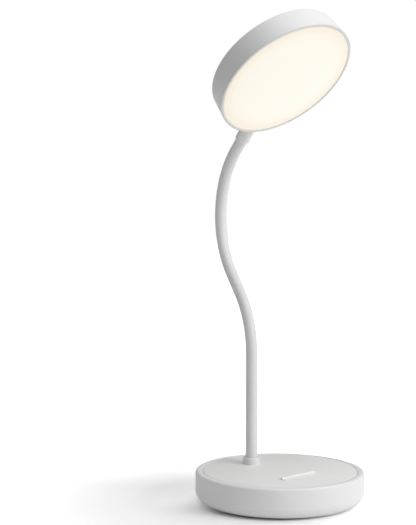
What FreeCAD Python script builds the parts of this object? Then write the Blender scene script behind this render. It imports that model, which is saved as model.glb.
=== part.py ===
import FreeCAD, Part
import math
import os
import Sketcher
from FreeCAD import Placement, Rotation, Vector

# Desk lamp: a round puck base with a phone rest on its cover, a flexible
# S-bent neck in a smooth sleeve, and a thin round light head.
# Millimetres.  +Z is up, -Y is the front, the origin is the centre of the
# face that the lamp stands on.

SIZES = [
    # base
    ("base_radius", 60.0, "outer radius of the base shell"),
    ("base_top", 22.4, "height of the base's rim and cover above the desk"),
    ("foot_reach", 0.7, "how far the foot pad stands below the shell"),
    ("foot_inset", 3.4, "distance of the foot pad's edge inside the bottom plate's edge"),
    ("foot_sunk", 0.6, "depth of the foot pad in the bottom plate"),
    ("base_wall", 2.6, "side wall of the base shell"),
    ("base_bottom_round", 8.0, "round of the shell's lower outer edge"),
    ("base_top_round", 1.8, "round of the shell's upper outer edge"),
    ("rim_width", 4.8, "width of the rim round the top cover"),
    ("cover_thick", 2.4, "thickness of the top cover"),
    ("cover_gap", 0.4, "groove between the top cover and the rim"),
    ("cover_edge_round", 0.9, "round of the top cover's edge"),
    ("seat_width", 2.6, "width of the ledge that carries the cover"),
    ("seat_thick", 1.8, "thickness of that ledge"),
    ("heel_width", 0.4, "flat ring under the shell, round the bottom plate"),
    ("plate_rim", 1.2, "thickness of the bottom plate's rim"),
    ("plate_thick", 3.0, "thickness of the bottom plate"),
    ("shelf_width", 2.9, "width of the shell's lower ledge"),
    ("shelf_thick", 1.6, "thickness of the shell's lower ledge"),
    ("shell_slope", 3.0, "slope inside the shell's lower corner"),
    ("fit_gap", 0.3, "radial gap between parts that drop into each other"),
    ("boss_inset", 8.2, "distance of the screw bosses' circle inside the cover's ledge"),
    ("boss_radius", 3.5, "outer radius of a screw boss"),
    ("screw_radius", 1.2, "radius of a case screw's shank"),
    ("screw_head_radius", 2.6, "radius of a case screw's head"),
    ("screw_head_thick", 1.2, "height of a case screw's head"),
    ("screw_grip", 8.0, "length of a case screw in its boss"),
    ("tray_screw_grip", 6.0, "length of a tray screw past the tray's face"),
    ("thread_gap", 0.05, "gap between a screw or stud and its hole"),
    ("rest_width", 33.0, "width of the phone rest's lip"),
    ("rest_middle", -5.8, "place of the lip's middle across the base"),
    ("rest_back", -23.0, "place of the lip's rear face"),
    ("rest_height", 1.6, "height of the lip above the cover"),
    ("rest_crest", 1.0, "depth of the lip's flat top"),
    ("rest_ramp", 5.0, "length of the slope in front of the lip"),
    ("ballast_gap", 1.0, "room between the ballast disc and the bosses"),
    ("ballast_thick", 4.0, "thickness of the steel ballast disc"),
    ("pad_thick", 0.5, "thickness of the adhesive pad under the battery"),
    ("battery_gap", 2.6, "room between the battery and the bosses beside it"),
    ("battery_depth", 34.0, "battery front to back"),
    ("battery_thick", 7.0, "battery thickness"),
    ("battery_inset", 8.5, "distance of the battery's front inside the ballast's edge"),
    ("board_width", 48.0, "circuit board across the base"),
    ("board_depth", 12.3, "circuit board front to back"),
    ("board_inset", 9.1, "distance of the circuit board's rear edge from the wall"),
    ("board_height", 9.0, "height of the circuit board's underside"),
    ("board_thick", 1.6, "thickness of the circuit board"),
    ("post_spread", 16.0, "side place of the board's posts"),
    ("post_inset", 3.5, "distance of the board's posts behind its front edge"),
    ("post_radius", 2.5, "radius of a board post"),
    ("board_screw_radius", 0.9, "radius of a board screw's shank"),
    ("inlet_width", 9.0, "USB-C inlet across"),
    ("inlet_height", 3.2, "USB-C inlet height"),
    ("inlet_length", 9.4, "USB-C inlet front to back"),
    ("inlet_skin", 0.3, "thickness of the inlet's metal shell"),
    ("inlet_recess", 1.2, "how far the inlet's mouth lies inside the wall"),
    ("tongue_length", 5.6, "length of the inlet's contact tongue"),
    ("tongue_thick", 0.7, "thickness of the inlet's contact tongue"),
    ("button_turn", -22.0, "place of the button round the base, from the rear"),
    ("button_radius", 4.2, "radius of the power button"),
    ("button_proud", 0.9, "how far the power button stands out"),
    ("button_travel", 0.8, "stroke of the power button"),
    ("button_height", 12.4, "height of the button's axis"),
    ("flange_reach", 1.2, "extra radius of the button's flange"),
    ("flange_thick", 1.2, "thickness of the button's flange"),
    ("flange_gap", 0.4, "room between the button's flange and the wall"),
    ("plunger_radius", 1.6, "radius of the button's plunger"),
    ("plunger_length", 4.2, "length of the plunger outside the switch"),
    ("switch_depth", 4.2, "length of the tactile switch"),
    ("switch_width", 6.3, "width of the tactile switch"),
    ("light_turn", 22.0, "place of the charge light round the base"),
    ("light_radius", 1.1, "radius of the charge light's window"),
    # neck
    ("neck_to_board", 7.2, "distance of the neck's foot before the circuit board"),
    ("neck_yaw", -12.0, "turn of the neck's plane about its foot"),
    ("neck_rise", 102.7, "height where the neck leaves the upright"),
    ("neck_low_radius", 66.3, "radius of the neck's backward bend"),
    ("neck_lean", 40.65, "lean of the neck between its two bends"),
    ("neck_mid_run", 18.9, "straight run between the two bends"),
    ("neck_high_radius", 64.8, "radius of the neck's forward bend"),
    ("head_pitch", 48.3, "forward lean of the neck's upper end"),
    ("neck_top_run", 29.1, "straight run from the upper bend to the head"),
    ("sleeve_radius", 4.25, "outer radius of the neck's sleeve"),
    ("sleeve_wall", 0.75, "wall of the neck's sleeve"),
    ("sleeve_gap", 1.2, "gap between two sleeve links at a joint"),
    ("core_gap", 0.1, "gap between the core and the sleeve"),
    ("cup_wall", 0.75, "wall of a core link round its cup, plus the ball's gap"),
    ("ball_gap", 0.05, "running gap between a ball and its cup"),
    ("stem_radius", 1.5, "radius of the stem below a ball"),
    ("cup_lip", 0.7, "how far a cup reaches past the ball's centre"),
    ("stem_length", 1.7, "length of the bare stem below a ball's centre"),
    ("wire_bore", 0.7, "radius of the wire channel in the core"),
    ("first_joint", 24.0, "distance of the first joint along the neck"),
    ("joint_step", 30.0, "distance between joints along the neck"),
    ("ring_wall", 1.9, "width of the neck's foot ring outside the sleeve"),
    ("ring_height", 5.0, "height of the neck's foot ring"),
    ("ring_seat", 1.6, "height of the sleeve's lower end in the foot ring"),
    ("ring_edge_round", 1.0, "round of the foot ring's upper edge"),
    ("stud_wall", 1.4, "wall of the foot ring's threaded stud"),
    ("stud_reach", 9.0, "length of that stud below the cover"),
    ("nut_reach", 2.5, "how far the flats of the neck's lock nut lie outside the stud"),
    ("nut_thick", 3.0, "thickness of the neck's lock nut"),
    ("washer_reach", 3.5, "how far the lock nut's washer reaches outside the stud"),
    ("washer_thick", 1.0, "thickness of the lock nut's washer"),
    # head
    ("head_radius", 50.9, "outer radius of the head at its front"),
    ("head_thick", 18.4, "thickness of the head"),
    ("head_taper", 1.8, "how much the head narrows towards its back"),
    ("head_wall", 1.3, "side wall of the head's housing"),
    ("head_back", 1.6, "thickness of the housing's back"),
    ("head_back_round", 1.6, "round of the head's back edge"),
    ("head_twist", 8.3, "turn of the head about its collar"),
    ("bezel_thick", 1.7, "thickness of the bezel ring"),
    ("bezel_width", 2.1, "visible width of the bezel ring"),
    ("bezel_round", 0.6, "round of the bezel's outer edge"),
    ("diffuser_inset", 0.3, "how far the diffuser lies behind the bezel"),
    ("diffuser_thick", 2.0, "thickness of the diffuser"),
    ("guide_gap", 0.25, "gap between the light guide and the LEDs"),
    ("guide_thick", 2.5, "thickness of the light guide"),
    ("sheet_thick", 0.3, "thickness of the reflector sheet"),
    ("tray_gap", 0.9, "room for the screw heads behind the sheet"),
    ("tray_thick", 0.8, "thickness of the metal tray"),
    ("rim_thick", 0.6, "thickness of the tray's rim"),
    ("tray_step", 2.6, "width of the tray's step that presses on the sheet"),
    ("strip_thick", 0.3, "thickness of the LED strip"),
    ("led_thick", 0.8, "thickness of an LED"),
    ("led_length", 2.8, "length of an LED along the strip"),
    ("led_count", 30.0, "number of LEDs round the guide"),
    ("tray_boss_inset", 16.9, "distance of the tray's screws from the head's edge"),
    ("tray_boss_radius", 2.6, "radius of a boss in the head's housing"),
    ("tray_screw_radius", 0.95, "radius of a tray screw's shank"),
    ("collar_wall", 1.0, "wall of the head's collar round the sleeve"),
    ("collar_length", 17.8, "length of the head's collar below the wall"),
    ("collar_seat", 5.0, "depth of the sleeve's socket in the collar"),
    ("collar_edge_round", 0.5, "round of the collar's lower edge"),
    ("collar_depth", 9.0, "distance of the collar's axis behind the head's front"),
    ("collar_stud_radius", 3.0, "radius of the collar's threaded stud"),
    ("collar_nut_reach", 0.9, "how far the flats of the collar's nut lie outside its stud"),
    ("collar_nut_thick", 1.7, "thickness of the collar's nut"),
]

doc = FreeCAD.newDocument("desk_lamp")
sheet = doc.addObject("Spreadsheet::Sheet", "Spec")
for row, (alias, size, meaning) in enumerate(SIZES, start=1):
    sheet.set(f"A{row}", meaning)
    sheet.set(f"B{row}", str(size))
    sheet.setAlias(f"B{row}", alias)
doc.recompute()


class Size:
    """A size that is both a number and the sheet formula that gives it."""

    def __init__(self, number, formula):
        self.number = number
        self.formula = formula

    def _join(self, other, sign, number):
        return Size(number, f"({self.formula} {sign} {formula_of(other)})")

    def __add__(self, other):
        return self._join(other, "+", self.number + number_of(other))

    def __sub__(self, other):
        return self._join(other, "-", self.number - number_of(other))

    def __mul__(self, other):
        return self._join(other, "*", self.number * number_of(other))

    def __truediv__(self, other):
        return self._join(other, "/", self.number / number_of(other))

    def __neg__(self):
        return Size(-self.number, f"(0 - {self.formula})")

    def __radd__(self, other):
        return size_of(other) + self

    def __rsub__(self, other):
        return size_of(other) - self

    def __rmul__(self, other):
        return size_of(other) * self


def size_of(value):
    return value if isinstance(value, Size) else Size(float(value), repr(float(value)))


def number_of(value):
    return value.number if isinstance(value, Size) else float(value)


def formula_of(value):
    return value.formula if isinstance(value, Size) else repr(float(value))


class Spec:
    """The sheet's sizes by name."""


for alias, _, _ in SIZES:
    setattr(Spec, alias, Size(float(sheet.get(alias)), f"Spec.{alias}"))

sub_parts = []


def keep(shape_object, node, place=None):
    """Names an object as a sub-part and puts it in its place."""
    shape_object.Label = node
    if place is not None:
        shape_object.Placement = place
    sub_parts.append(shape_object)
    return shape_object


def bind(shape_object, sizes):
    for name, size in sizes.items():
        shape_object.setExpression(name, formula_of(size))


def primitive(kind, name, sizes, at=(0, 0, 0), turn=None):
    """A Part primitive with its sizes and its place bound to the sheet."""
    made = doc.addObject(kind, name)
    if turn is not None:
        made.Placement = Placement(Vector(), turn)
    bind(made, sizes)
    for axis, value in zip("xyz", at):
        if isinstance(value, Size) or value:
            made.setExpression(f"Placement.Base.{axis}", formula_of(value))
    return made


TO_Y = Rotation(Vector(1, 0, 0), -90)      # turns a cylinder's axis from +Z to +Y


def cylinder(name, radius, height, at=(0, 0, 0), turn=None):
    return primitive("Part::Cylinder", name, {"Radius": radius, "Height": height}, at, turn)


def box(name, length, width, height, at=(0, 0, 0)):
    return primitive("Part::Box", name, {"Length": length, "Width": width, "Height": height}, at)


def cut(name, base, tools):
    made = doc.addObject("Part::Cut", name)
    made.Base = base
    made.Tool = tools if not isinstance(tools, list) else join(name + "_tools", tools)
    return made


def join(name, pieces):
    if len(pieces) == 1:
        return pieces[0]
    made = doc.addObject("Part::MultiFuse", name)
    made.Shapes = pieces
    return made


def group(name, pieces):
    """Several separate solids kept in one node."""
    made = doc.addObject("Part::Compound", name)
    made.Links = pieces
    return made


def origin_plane(body, role):
    return [item for item in body.Origin.OriginFeatures if item.Role == role][0]


def draw(sketch, corners):
    """Draws a closed outline, counterclockwise, with each corner held by the sheet.

    A corner is (across, up), or (across, up, radius) where an arc of that
    radius, bulging outwards, leads to it.
    """
    points = [Vector(number_of(c[0]), number_of(c[1]), 0) for c in corners]
    total = len(points)
    for index, corner in enumerate(corners):
        start = points[index - 1]
        end = points[index]
        if not corner_radius(corner):
            sketch.addGeometry(Part.LineSegment(start, end))
            continue
        radius = number_of(corner_radius(corner))
        chord = end - start
        left = Vector(-chord.y, chord.x, 0).normalize()
        bulge = radius - math.sqrt(max(radius ** 2 - chord.Length ** 2 / 4, 0))
        sketch.addGeometry(Part.Arc(start, (start + end) * 0.5 - left * bulge, end))
    for index, corner in enumerate(corners):
        following = (index + 1) % total
        sketch.addConstraint(Sketcher.Constraint("Coincident", index, 2, following, 1))
        # -2 is the sketch's upright axis and -1 its level one
        for kind, value, axis in (("DistanceX", corner[0], -2), ("DistanceY", corner[1], -1)):
            if not isinstance(value, Size) and value == 0:
                sketch.addConstraint(Sketcher.Constraint("PointOnObject", index, 2, axis))
                continue
            rule = sketch.addConstraint(
                Sketcher.Constraint(kind, -1, 1, index, 2, number_of(value)))
            sketch.setExpression(f"Constraints[{rule}]", formula_of(value))
        if corner_radius(corner):
            rule = sketch.addConstraint(
                Sketcher.Constraint("Radius", index, number_of(corner_radius(corner))))
            sketch.setExpression(f"Constraints[{rule}]", formula_of(corner_radius(corner)))


def corner_radius(corner):
    """The radius of the arc that leads to a corner, if there is one."""
    return corner[2] if len(corner) > 2 else None


def sketched_body(name, plane, corners):
    body = doc.addObject("PartDesign::Body", name)
    sketch = body.newObject("Sketcher::SketchObject", name + "_outline")
    sketch.AttachmentSupport = (origin_plane(body, plane), [""])
    sketch.MapMode = "FlatFace"
    draw(sketch, corners)
    return body, sketch


def turned(name, corners, plane="XZ_Plane"):
    """A body of revolution: about Z from the XZ plane, about Y from the XY plane."""
    body, sketch = sketched_body(name, plane, corners)
    turn = body.newObject("PartDesign::Revolution", name + "_turn")
    turn.Profile = sketch
    turn.ReferenceAxis = (sketch, ["V_Axis"])
    turn.Angle = 360
    return body


def ring_corners(inner, outer, low, high):
    return [(inner, low), (outer, low), (outer, high), (inner, high)]


def disc_corners(outer, low, high):
    return [(0, low), (outer, low), (outer, high), (0, high)]


# ---------------------------------------------------------------- the base

plate_low = Spec.foot_reach
foot_top = plate_low + Spec.foot_sunk
shelf_low = plate_low + Spec.plate_rim
shelf_top = shelf_low + Spec.shelf_thick
plate_top = plate_low + Spec.plate_thick
seat_top = Spec.base_top - Spec.cover_thick
seat_low = seat_top - Spec.seat_thick
wall_inside = Spec.base_radius - Spec.base_wall
cover_radius = Spec.base_radius - Spec.rim_width - Spec.cover_gap
seat_inner_radius = cover_radius - Spec.seat_width
plate_radius = Spec.base_radius - Spec.base_bottom_round - Spec.heel_width - Spec.fit_gap
plate_hub_radius = plate_radius - Spec.shelf_width
foot_radius = plate_radius - Spec.foot_inset
boss_circle = seat_inner_radius - Spec.boss_inset
ballast_radius = boss_circle - Spec.boss_radius - Spec.ballast_gap
battery_width = (boss_circle / math.sqrt(2) - Spec.boss_radius - Spec.battery_gap) * 2
battery_front = Spec.battery_inset - ballast_radius
board_back = wall_inside - Spec.board_inset
board_front = board_back - Spec.board_depth
post_back = board_front + Spec.post_inset
neck_root = board_front - Spec.neck_to_board
board_top = Spec.board_height + Spec.board_thick
sleeve_bore = Spec.sleeve_radius - Spec.sleeve_wall
core_radius = sleeve_bore - Spec.core_gap
ball_radius = core_radius - Spec.cup_wall
stud_radius = core_radius + Spec.thread_gap + Spec.stud_wall
post_root = (foot_top + plate_top) / 2
boss_angles = (45, 135, 225, 315)


def round_the_base(turn, reach, height, rotation=TO_Y):
    """The placement at an angle from the rear of the base, seen from above."""
    spin = Rotation(Vector(0, 0, 1), number_of(turn))
    spot = spin.multVec(Vector(0, number_of(reach), number_of(height)))
    return Placement(spot, spin * rotation)


def on_circle(radius, angle, height):
    across = size_of(radius) * math.cos(math.radians(angle))
    along = size_of(radius) * math.sin(math.radians(angle))
    return (across, along, height)


def radial_rod(name, radius, reach, length, turn, height):
    """A rod that lies along a radius of the base."""
    rod = cylinder(name, radius, length)
    rod.Placement = round_the_base(turn, reach, height)
    return rod


def flat_oval(name, width, height, length, start, middle_height):
    """A bar of oval section along Y, centred across the base."""
    core = box(name + "_core", width - height, length, height,
               (-(width - height) / 2, start, middle_height - height / 2))
    ends = []
    for side in (-1, 1):
        ends.append(cylinder(f"{name}_end_{'left' if side < 0 else 'right'}", height / 2, length,
                             ((width - height) / 2 * side, start, middle_height), TO_Y))
    return join(name, [core] + ends)


def screw(name, shank_radius, head_radius, head_thick, shank_length, spot):
    """An upright screw, head down, with a slot across its head."""
    across, along, height = spot
    head = cylinder(name + "_head", head_radius, head_thick, spot)
    shank = cylinder(name + "_shank", shank_radius, head_thick + shank_length, spot)
    slot = box(name + "_slot", head_radius * 1.4, shank_radius / 2, head_thick / 2,
               (across - head_radius * 0.7, along - shank_radius / 4, height))
    return cut(name, join(name + "_solid", [head, shank]), slot)


def make_foot_pad():
    keep(turned("foot_pad", disc_corners(foot_radius, 0, foot_top)), "foot_pad")


def make_base_shell():
    corners = [
        (plate_radius + Spec.fit_gap, plate_low),
        (Spec.base_radius - Spec.base_bottom_round, plate_low),
        (Spec.base_radius, plate_low + Spec.base_bottom_round, Spec.base_bottom_round),
        (Spec.base_radius, Spec.base_top - Spec.base_top_round),
        (Spec.base_radius - Spec.base_top_round, Spec.base_top, Spec.base_top_round),
        (cover_radius + Spec.cover_gap, Spec.base_top),
        (cover_radius + Spec.cover_gap, seat_top),
        (seat_inner_radius, seat_top),
        (seat_inner_radius, seat_low),
        (wall_inside, seat_low),
        (wall_inside, shelf_top + Spec.shell_slope),
        (wall_inside - Spec.shell_slope, shelf_top),
        (plate_hub_radius + Spec.fit_gap, shelf_top),
        (plate_hub_radius + Spec.fit_gap, shelf_low),
        (plate_radius + Spec.fit_gap, shelf_low),
    ]
    shell = turned("shell_wall", corners)
    through = Spec.base_wall * 3
    start = wall_inside - Spec.base_wall
    inlet_slot = flat_oval("inlet_slot", Spec.inlet_width + Spec.fit_gap * 2,
                           Spec.inlet_height + Spec.fit_gap * 2, through, start, inlet_middle)
    button_hole = radial_rod("button_hole", Spec.button_radius + Spec.fit_gap / 2, start,
                             through, Spec.button_turn, Spec.button_height)
    light_hole = radial_rod("light_hole", Spec.light_radius + Spec.thread_gap, start,
                            through, Spec.light_turn, Spec.button_height)
    keep(cut("base_shell", shell, [inlet_slot, button_hole, light_hole]), "base_shell")


def make_top_cover():
    disc = turned("cover_disc", [
        (0, seat_top),
        (cover_radius, seat_top),
        (cover_radius, Spec.base_top - Spec.cover_edge_round),
        (cover_radius - Spec.cover_edge_round, Spec.base_top, Spec.cover_edge_round),
        (0, Spec.base_top),
    ])
    root_depth = Spec.cover_thick / 2
    crest = Spec.rest_back - Spec.rest_crest
    lip, outline = sketched_body("rest_lip", "YZ_Plane", [
        (crest - Spec.rest_ramp, Spec.base_top - root_depth),
        (Spec.rest_back, Spec.base_top - root_depth),
        (Spec.rest_back, Spec.base_top + Spec.rest_height),
        (crest, Spec.base_top + Spec.rest_height),
        (crest - Spec.rest_ramp, Spec.base_top),
    ])
    pad = lip.newObject("PartDesign::Pad", "rest_lip_pad")
    pad.Profile = outline
    bind(pad, {"Length": Spec.rest_width})
    lip.setExpression("Placement.Base.x", (Spec.rest_middle - Spec.rest_width / 2).formula)
    bosses = []
    pilots = []
    for angle in boss_angles:
        bosses.append(cylinder(f"cover_boss_{angle}", Spec.boss_radius,
                               seat_top + root_depth - plate_top,
                               on_circle(boss_circle, angle, plate_top)))
        pilots.append(cylinder(f"cover_pilot_{angle}", Spec.screw_radius + Spec.thread_gap,
                               Spec.screw_grip + Spec.thread_gap * 4,
                               on_circle(boss_circle, angle, plate_top)))
    neck_hole = cylinder("neck_hole", stud_radius + Spec.thread_gap * 2,
                         Spec.cover_thick * 3,
                         (0, neck_root, Spec.base_top - Spec.cover_thick * 2))
    body = join("cover_body", [disc, lip] + bosses)
    keep(cut("top_cover", body, pilots + [neck_hole]), "top_cover")


def post_spot(side, height):
    return (Spec.post_spread * side, post_back, height)


def make_bottom_plate():
    foot_open = foot_radius + Spec.fit_gap / 2
    disc = turned("plate_disc", [
        (0, foot_top),
        (foot_open, foot_top),
        (foot_open, plate_low),
        (plate_radius, plate_low),
        (plate_radius, shelf_low),
        (plate_hub_radius, shelf_low),
        (plate_hub_radius, plate_top),
        (0, plate_top),
    ])
    posts = []
    holes = []
    for side in (-1, 1):
        hand = "left" if side < 0 else "right"
        posts.append(cylinder(f"board_post_{hand}", Spec.post_radius,
                              Spec.board_height - post_root, post_spot(side, post_root)))
        holes.append(cylinder(f"board_pilot_{hand}", Spec.board_screw_radius + Spec.thread_gap,
                              Spec.board_height - plate_top, post_spot(side, plate_top)))
    for angle in boss_angles:
        spot = on_circle(boss_circle, angle, foot_top)
        holes.append(cylinder(f"plate_sink_{angle}", Spec.screw_head_radius + Spec.fit_gap,
                              Spec.screw_head_thick, spot))
        holes.append(cylinder(f"plate_hole_{angle}", Spec.screw_radius + Spec.fit_gap,
                              Spec.plate_thick, spot))
    keep(cut("bottom_plate", join("plate_body", [disc] + posts), holes), "bottom_plate")


def make_base_screws():
    screws = []
    for angle in boss_angles:
        length = Spec.screw_grip + plate_top - foot_top - Spec.screw_head_thick
        screws.append(screw(f"base_screw_{angle}", Spec.screw_radius, Spec.screw_head_radius,
                            Spec.screw_head_thick, length,
                            on_circle(boss_circle, angle, foot_top)))
    keep(group("base_screws", screws), "base_screws")


def make_ballast_and_battery():
    ballast = turned("ballast_disc", disc_corners(
        ballast_radius, plate_top, plate_top + Spec.ballast_thick))
    keep(ballast, "ballast_disc")
    pad_low = plate_top + Spec.ballast_thick
    margin = Spec.battery_thick / 2
    keep(box("battery_pad", battery_width - margin * 2, Spec.battery_depth - margin * 2,
             Spec.pad_thick, (margin - battery_width / 2, battery_front + margin,
                              pad_low)), "battery_pad")
    keep(box("battery_pack", battery_width, Spec.battery_depth, Spec.battery_thick,
             (-battery_width / 2, battery_front, pad_low + Spec.pad_thick)),
         "battery_pack")


lead_radius = (Spec.wire_bore - Spec.thread_gap * 2) / 2
lead_spread = lead_radius + Spec.thread_gap / 2
lead_bend = lead_radius * 4
battery_wire_radius = lead_radius * 2


def make_battery_lead():
    back = battery_front + Spec.battery_depth
    wires = []
    for side in (-1, 1):
        hand = "red" if side < 0 else "black"
        wires.append(cylinder(f"battery_wire_{hand}", battery_wire_radius,
                              board_front + Spec.post_radius - back,
                              (Spec.post_radius * 2 * side, back,
                               board_top + battery_wire_radius),
                              TO_Y))
    keep(group("battery_lead", wires), "battery_lead")


def make_control_board():
    plate = box("board_plate", Spec.board_width, board_back - board_front,
                Spec.board_thick, (-Spec.board_width / 2, board_front, Spec.board_height))
    tab_width = Spec.inlet_width + Spec.post_radius * 2
    tab = box("board_tab", tab_width, wall_inside - Spec.board_thick - board_front,
              Spec.board_thick, (-tab_width / 2, board_front, Spec.board_height))
    holes = []
    for side in (-1, 1):
        hand = "left" if side < 0 else "right"
        holes.append(cylinder(f"board_hole_{hand}", Spec.board_screw_radius + Spec.fit_gap,
                              Spec.board_thick * 3,
                              post_spot(side, Spec.board_height - Spec.board_thick)))
    keep(cut("control_board", join("board_body", [plate, tab]), holes), "control_board")


CHIPS = [  # across, distance behind the board's front, length, width, height
    (-7.5, 7.5, 5.0, 5.0, 1.0),
    (7.0, 7.0, 6.0, 6.0, 3.0),
    (-13.0, 8.5, 3.2, 1.6, 1.2),
    (0.0, 8.5, 3.0, 3.0, 0.9),
    (-11.0, 11.2, 3.2, 1.6, 1.2),
]


def make_board_chips():
    chips = []
    for number, (across, along, length, width, height) in enumerate(CHIPS, start=1):
        chips.append(box(f"board_chip_{number}", length, width, height,
                         (across - length / 2, board_front + (along - width / 2),
                          board_top)))
    keep(group("board_chips", chips), "board_chips")


def make_board_screws():
    head_radius = Spec.board_screw_radius * 2
    head_thick = Spec.board_screw_radius
    screws = []
    for side in (-1, 1):
        hand = "left" if side < 0 else "right"
        head = cylinder(f"board_screw_head_{hand}", head_radius, head_thick,
                        post_spot(side, board_top))
        shank = cylinder(f"board_screw_shank_{hand}", Spec.board_screw_radius,
                         board_top - plate_top - head_thick,
                         post_spot(side, plate_top + head_thick))
        screws.append(join(f"board_screw_{hand}", [head, shank]))
    keep(group("board_screws", screws), "board_screws")


inlet_middle = board_top + Spec.inlet_height / 2
inlet_mouth = Spec.base_radius - Spec.inlet_recess
inlet_start = inlet_mouth - Spec.inlet_length


def make_inlet():
    outside = flat_oval("inlet_outside", Spec.inlet_width, Spec.inlet_height,
                        Spec.inlet_length, inlet_start, inlet_middle)
    inside = flat_oval("inlet_inside", Spec.inlet_width - Spec.inlet_skin * 2,
                       Spec.inlet_height - Spec.inlet_skin * 2, Spec.inlet_length * 2,
                       inlet_start - Spec.inlet_length / 2, inlet_middle)
    keep(cut("usb_c_inlet", outside, inside), "usb_c_inlet")
    plug_length = Spec.inlet_length - Spec.tongue_length - Spec.inlet_skin * 4
    plug = flat_oval("tongue_plug", Spec.inlet_width - Spec.inlet_skin * 2,
                     Spec.inlet_height - Spec.inlet_skin * 2, plug_length, inlet_start,
                     inlet_middle)
    tongue_width = Spec.inlet_width - Spec.inlet_height + Spec.tongue_thick
    tongue = box("tongue_blade", tongue_width, Spec.tongue_length + plug_length / 2,
                 Spec.tongue_thick,
                 (-tongue_width / 2, inlet_start + plug_length / 2,
                  inlet_middle - Spec.tongue_thick / 2))
    keep(join("inlet_tongue", [plug, tongue]), "inlet_tongue")


button_back = wall_inside - Spec.flange_gap - Spec.flange_thick
switch_front = button_back - Spec.plunger_length
plunger_end = switch_front - Spec.button_travel


def make_button_and_switch():
    def rod(name, radius, reach, length):
        return radial_rod(name, radius, reach, length, Spec.button_turn, Spec.button_height)

    cap = rod("button_cap", Spec.button_radius, button_back,
              Spec.base_radius + Spec.button_proud - button_back)
    flange = rod("button_flange", Spec.button_radius + Spec.flange_reach, button_back,
                 Spec.flange_thick)
    plunger = rod("button_plunger", Spec.plunger_radius, plunger_end,
                  button_back + Spec.flange_thick / 2 - plunger_end)
    keep(join("power_button", [cap, flange, plunger]), "power_button")
    block_height = (Spec.button_height - board_top) * 2
    block = box("switch_block", Spec.switch_width, Spec.switch_depth, block_height)
    spin = Rotation(Vector(0, 0, 1), Spec.button_turn.number)
    corner = Vector(-Spec.switch_width.number / 2, (switch_front - Spec.switch_depth).number,
                    board_top.number)
    block.Placement = Placement(spin.multVec(corner), spin)
    bore = rod("switch_bore", Spec.plunger_radius + Spec.fit_gap / 2,
               plunger_end - Spec.button_travel - Spec.fit_gap, Spec.switch_depth)
    keep(cut("tact_switch", block, bore), "tact_switch")


def make_charge_light():
    start = switch_front
    window = radial_rod("charge_window", Spec.light_radius, start,
                        Spec.base_radius - start, Spec.light_turn, Spec.button_height)
    keep(window, "charge_window", window.Placement)
    size = Spec.light_radius * 2
    led = box("charge_led", size, Spec.light_radius, size + Spec.button_height - board_top
              - Spec.light_radius)
    spin = Rotation(Vector(0, 0, 1), Spec.light_turn.number)
    corner = Vector(-size.number / 2, (start - Spec.light_radius).number, board_top.number)
    keep(led, "charge_led", Placement(spin.multVec(corner), spin))


# ---------------------------------------------------------------- the neck
#
# The neck lies in one upright plane.  In that plane's own frame the foot is
# the origin, +Y leads backwards and +Z up.  Distances along the neck are
# counted from the top of the base.

neck_frame = Placement(Vector(0, neck_root.number, 0),
                       Rotation(Vector(0, 0, 1), Spec.neck_yaw.number))


class Run:
    """A straight or round stretch of the neck's centre line."""

    def __init__(self, start, end, spot, lean, radius=0.0, sense=0):
        self.start = start
        self.end = end
        self.spot = spot
        self.lean = lean
        self.radius = radius
        self.sense = sense

    def lean_at(self, distance):
        if not self.radius:
            return self.lean
        return self.lean + self.sense * (distance - self.start) / self.radius

    def middle(self):
        """The centre of the bend."""
        across = Vector(0, math.cos(self.lean), -math.sin(self.lean))
        return self.spot + across * self.radius * self.sense

    def point_at(self, distance):
        if not self.radius:
            along = Vector(0, math.sin(self.lean), math.cos(self.lean))
            return self.spot + along * (distance - self.start)
        lean = self.lean_at(distance)
        across = Vector(0, math.cos(lean), -math.sin(lean))
        return self.middle() - across * self.radius * self.sense


def neck_runs():
    """The centre line: upright, bend back, straight, bend forward, straight."""
    lean = math.radians(Spec.neck_lean.number)
    pitch = math.radians(Spec.head_pitch.number)
    stretches = [
        (Spec.neck_rise.number - Spec.base_top.number, 0.0, 0),
        (Spec.neck_low_radius.number * lean, Spec.neck_low_radius.number, 1),
        (Spec.neck_mid_run.number, 0.0, 0),
        (Spec.neck_high_radius.number * (lean + pitch), Spec.neck_high_radius.number, -1),
        (Spec.neck_top_run.number, 0.0, 0),
    ]
    runs = []
    distance = 0.0
    spot = Vector(0, 0, Spec.base_top.number)
    heading = 0.0
    for length, radius, sense in stretches:
        run = Run(distance, distance + length, spot, heading, radius, sense)
        runs.append(run)
        distance = run.end
        spot = run.point_at(distance)
        heading = run.lean_at(distance)
    return runs


RUNS = neck_runs()
neck_end = RUNS[-1].end


def run_at(distance):
    for run in RUNS:
        if distance <= run.end:
            return run
    return RUNS[-1]


def point_on_neck(distance):
    return run_at(distance).point_at(distance)


def station(distance):
    """The frame at a distance along the neck, its +Z along the centre line."""
    lean = math.degrees(run_at(distance).lean_at(distance))
    return Placement(point_on_neck(distance), Rotation(Vector(1, 0, 0), -lean))


def follow(start, end, radius, bore=0.0):
    """A round bar, or a tube, along the neck from one distance to another."""
    pieces = []
    for run in RUNS:
        low = max(start, run.start)
        high = min(end, run.end)
        if run is RUNS[0]:
            low = start
        if high - low < 1e-6:
            continue
        spot = station(low)
        along = spot.Rotation.multVec(Vector(0, 0, 1))
        outer = Part.Wire(Part.makeCircle(radius, spot.Base, along))
        face = Part.Face(outer)
        if bore:
            inner = Part.Wire(Part.makeCircle(bore, spot.Base, along))
            face = face.cut(Part.Face(inner))
        if run.radius:
            turn = math.degrees((high - low) / run.radius)
            pieces.append(face.revolve(run.middle(), Vector(-run.sense, 0, 0), turn))
        else:
            pieces.append(face.extrude(along * (high - low)))
    bar = pieces[0]
    if len(pieces) > 1:
        bar = bar.fuse(pieces[1:]).removeSplitter()
    return bar.Solids[0] if len(bar.Solids) == 1 else bar


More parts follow.
